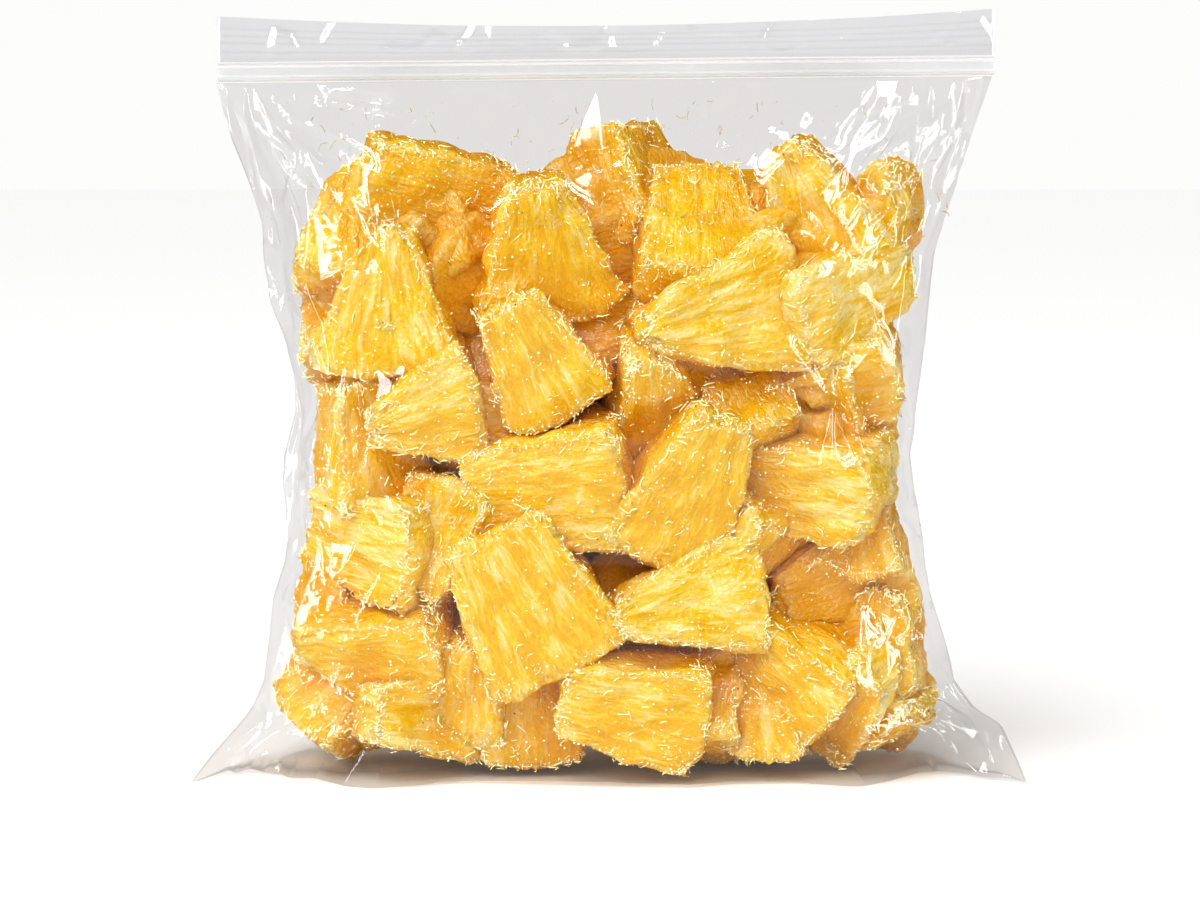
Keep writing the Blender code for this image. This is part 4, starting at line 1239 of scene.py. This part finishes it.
def creased(u, v, seed, count, box):
    """Flat facets with straight creases between them, with slopes of about one.

    It is the squared distance to the nearest of one set of random points, less that to the
    nearest of another set, so the squares cancel and each facet is a plane.
    """
    chance = np.random.default_rng(seed)
    gap = math.sqrt((box[1][0] - box[0][0]) * (box[1][1] - box[0][1]) / count)
    far = nearest_square(u, v, chance, count, box)
    return (far - nearest_square(u, v, chance, count, box)) / gap


def lip_sheets(side):
    """One lip between its inner and outer face, and how much of a rib lies at each point."""
    x, t = np.meshgrid(
        np.linspace(-SEAL_LENGTH / 2, SEAL_LENGTH / 2, LIP_COLUMNS + 1),
        np.linspace(0, 1, LIP_ROWS + 1),
    )
    low = (BAG_TOP + 2 * GAP + RAIL_HEIGHT) * (1 + SEAL_TILT * x)
    span = (x / (SEAL_LENGTH / 2)) ** 2
    high = STANDING_HEIGHT * (1 + SEAL_TILT * x) - LIP_SAG * (1 - span)
    z = low + (high - low) * t
    ribs = sum(np.exp(-(((t - at) / RIB_WIDTH) ** 2)) for at in LIP_RIBS)
    dents = DENT_SLOPE * creased(x, z, LIP_SEED + 5 * side, DENT_COUNT, DENT_BOX)
    mean, swing, turns = FLARE_WAVE
    flare = LIP_FLARE * t * t * (mean + swing * np.sin(x / SEAL_LENGTH * turns + side))
    bent = flare + np.clip(dents * smooth_step(t, *DENT_FADE) - DENT_FLOOR, 0.0, DENT_MOST)
    y = seam_wave(x)
    inner = np.stack((x, y + side * (GAP / 2 + bent), z), 2)
    outer = np.stack((x, y + side * (GAP / 2 + bent + LIP_FILM + RIB_PROUD * ribs), z), 2)
    sheets = paired_sheets(*((outer, inner) if side < 0 else (inner, outer)))
    return *sheets, np.repeat(np.tile(ribs.ravel(), 2)[:, None], 3, 1)


lip_film = film_material("lip_polythene", LIP_CLEAR, LIP_EDGE, rough=0.08, rib=RIB_CLEAR)
for name, side in (("lip_front", -1), ("lip_back", 1)):
    points, quads, rib = lip_sheets(side)
    lip = add_piece("film_" + name, points, quads, lip_film, "clear_film", rib=rib)
    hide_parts(name)


# Studio. A pale matt floor in a white room, broad soft boxes above and in front, tall strip lamps
# beside the bag, and two small bright boxes that glint on the wet fruit and on the frost.
FLOOR_REACH = 6.0
FLOOR_DROP = 0.0001
FLOOR_WHITE = (0.975, 0.973, 0.970, 1.0)
pale_floor, _, floor_skin = new_material("pale_floor")
floor_skin.inputs["Base Color"].default_value = FLOOR_WHITE
floor_skin.inputs["Roughness"].default_value = 0.7
floor_mesh = bpy.data.meshes.new("floor")
ends = (-FLOOR_REACH, FLOOR_REACH)
floor_mesh.from_pydata([(x, y, -FLOOR_DROP) for x in ends for y in ends], [], [(0, 2, 3, 1)])
floor_mesh.materials.append(pale_floor)
floor = bpy.data.objects.new("floor", floor_mesh)
bpy.context.scene.collection.objects.link(floor)

# Name, place, point aimed at, width, height, radiance, and what it lights: "film" the film and
# the seal, and "fruit" the fruit and frost, both by reflection alone, "ice" the frost, and "matt"
# everything, without being reflected.
BAG_MIDDLE = (0, 0, 0.09)
SOFT_BOXES = [
    ("box_above", (-0.35, -0.65, 1.20), (0, 0, 0.05), 1.00, 0.60, 1.8, "matt"),
    ("box_front", (0.25, -1.50, 0.55), BAG_MIDDLE, 1.20, 0.80, 0.6, "matt"),
    ("box_glint", (-0.36, -0.72, 0.72), BAG_MIDDLE, 0.45, 0.40, 60.0, "fruit"),
    ("box_sparkle", (-0.36, -0.95, 0.60), BAG_MIDDLE, 0.45, 0.40, 40.0, "ice"),
]
STRIP_ANGLES_DEG = (52, 63, 75)  # away from the way to the camera, on both sides
STRIP_DISTANCE, STRIP_HEIGHT = 1.25, 0.45
STRIP = (BAG_MIDDLE, 0.15, 1.20, 30.0, "film")
HIGH_STRIP = ((0, 0, 0.12), 0.26, 0.60, 26.0, "film")
for side, end in ((-1, "left"), (1, "right")):
    for angle in STRIP_ANGLES_DEG:
        across = side * STRIP_DISTANCE * math.sin(math.radians(angle))
        place = (across, -STRIP_DISTANCE * math.cos(math.radians(angle)), STRIP_HEIGHT)
        SOFT_BOXES.append((f"strip_{end}_{angle}", place, *STRIP))
    SOFT_BOXES.append((f"strip_high_{end}", (side * 1.05, -0.12, 0.95), *HIGH_STRIP))
SUN_POWER = 2.4
SUN_SPREAD_DEG = 55.0
SUN_PLACE = (-0.65, -0.8, 1.15)
ROOM_LIGHT = 0.55  # how bright the white room is where it lights the bag
BACKDROP = 0.985  # how bright it is straight behind the bag
ROOM_SHINE = 0.08  # how bright it is in reflections, where the dark side of the studio shows


def linked_lamp(name, light, place, aim):
    """A lamp object at place that faces aim."""
    lamp = bpy.data.objects.new(name, light)
    lamp.location = place
    lamp.rotation_euler = (Vector(aim) - Vector(place)).to_track_quat("-Z", "Y").to_euler()
    bpy.context.scene.collection.objects.link(lamp)
    return lamp


film_only = bpy.data.collections.new("film_only")  # the strip lamps light all but its members
for piece in wet_fruit.objects:
    film_only.objects.link(piece)
for member in film_only.collection_objects:
    member.light_linking.link_state = "EXCLUDE"
receivers = {"fruit": wet_fruit, "ice": ice, "film": film_only}
for name, place, aim, width, height, radiance, lit in SOFT_BOXES:
    light = bpy.data.lights.new(name, "AREA")
    light.shape = "RECTANGLE"
    light.size, light.size_y = width, height
    light.energy = radiance * math.pi * width * height
    lamp = linked_lamp(name, light, place, aim)
    lamp.visible_diffuse = lit in ("matt", "ice")
    lamp.visible_glossy = lit != "matt"
    if lit in receivers:
        lamp.light_linking.receiver_collection = receivers[lit]
sun = bpy.data.lights.new("sun", "SUN")
sun.energy = SUN_POWER
sun.angle = math.radians(SUN_SPREAD_DEG)
linked_lamp("sun", sun, SUN_PLACE, (0, 0, 0)).visible_glossy = False

world = bpy.data.worlds.new("white_room")
bpy.context.scene.world = world
world.use_nodes = True
room = world.node_tree.nodes["Background"]
room.inputs["Color"].default_value = (1.0, 0.995, 0.99, 1.0)
tree = world.node_tree
path = node(tree, "LightPath").node
dimmed = math_node(tree, "MULTIPLY_ADD", path.outputs[3], ROOM_SHINE - ROOM_LIGHT, ROOM_LIGHT)
level = math_node(tree, "MULTIPLY_ADD", path.outputs[0], BACKDROP - ROOM_LIGHT, dimmed)
tree.links.new(level, room.inputs["Strength"])

CAMERA_PLACE = (-0.0014, -0.650, 0.150)
CAMERA_PITCH_DEG = 6.6
CAMERA_LENS = 84.15  # millimetres, on the 36 mm wide sensor that Blender starts with
view = bpy.data.cameras.new("camera")
view.lens = CAMERA_LENS
camera = bpy.data.objects.new("camera", view)
camera.location = CAMERA_PLACE
camera.rotation_euler = (math.radians(90 - CAMERA_PITCH_DEG), 0, 0)
bpy.context.scene.collection.objects.link(camera)
bpy.context.scene.camera = camera
bpy.context.scene.view_settings.view_transform = "Standard"
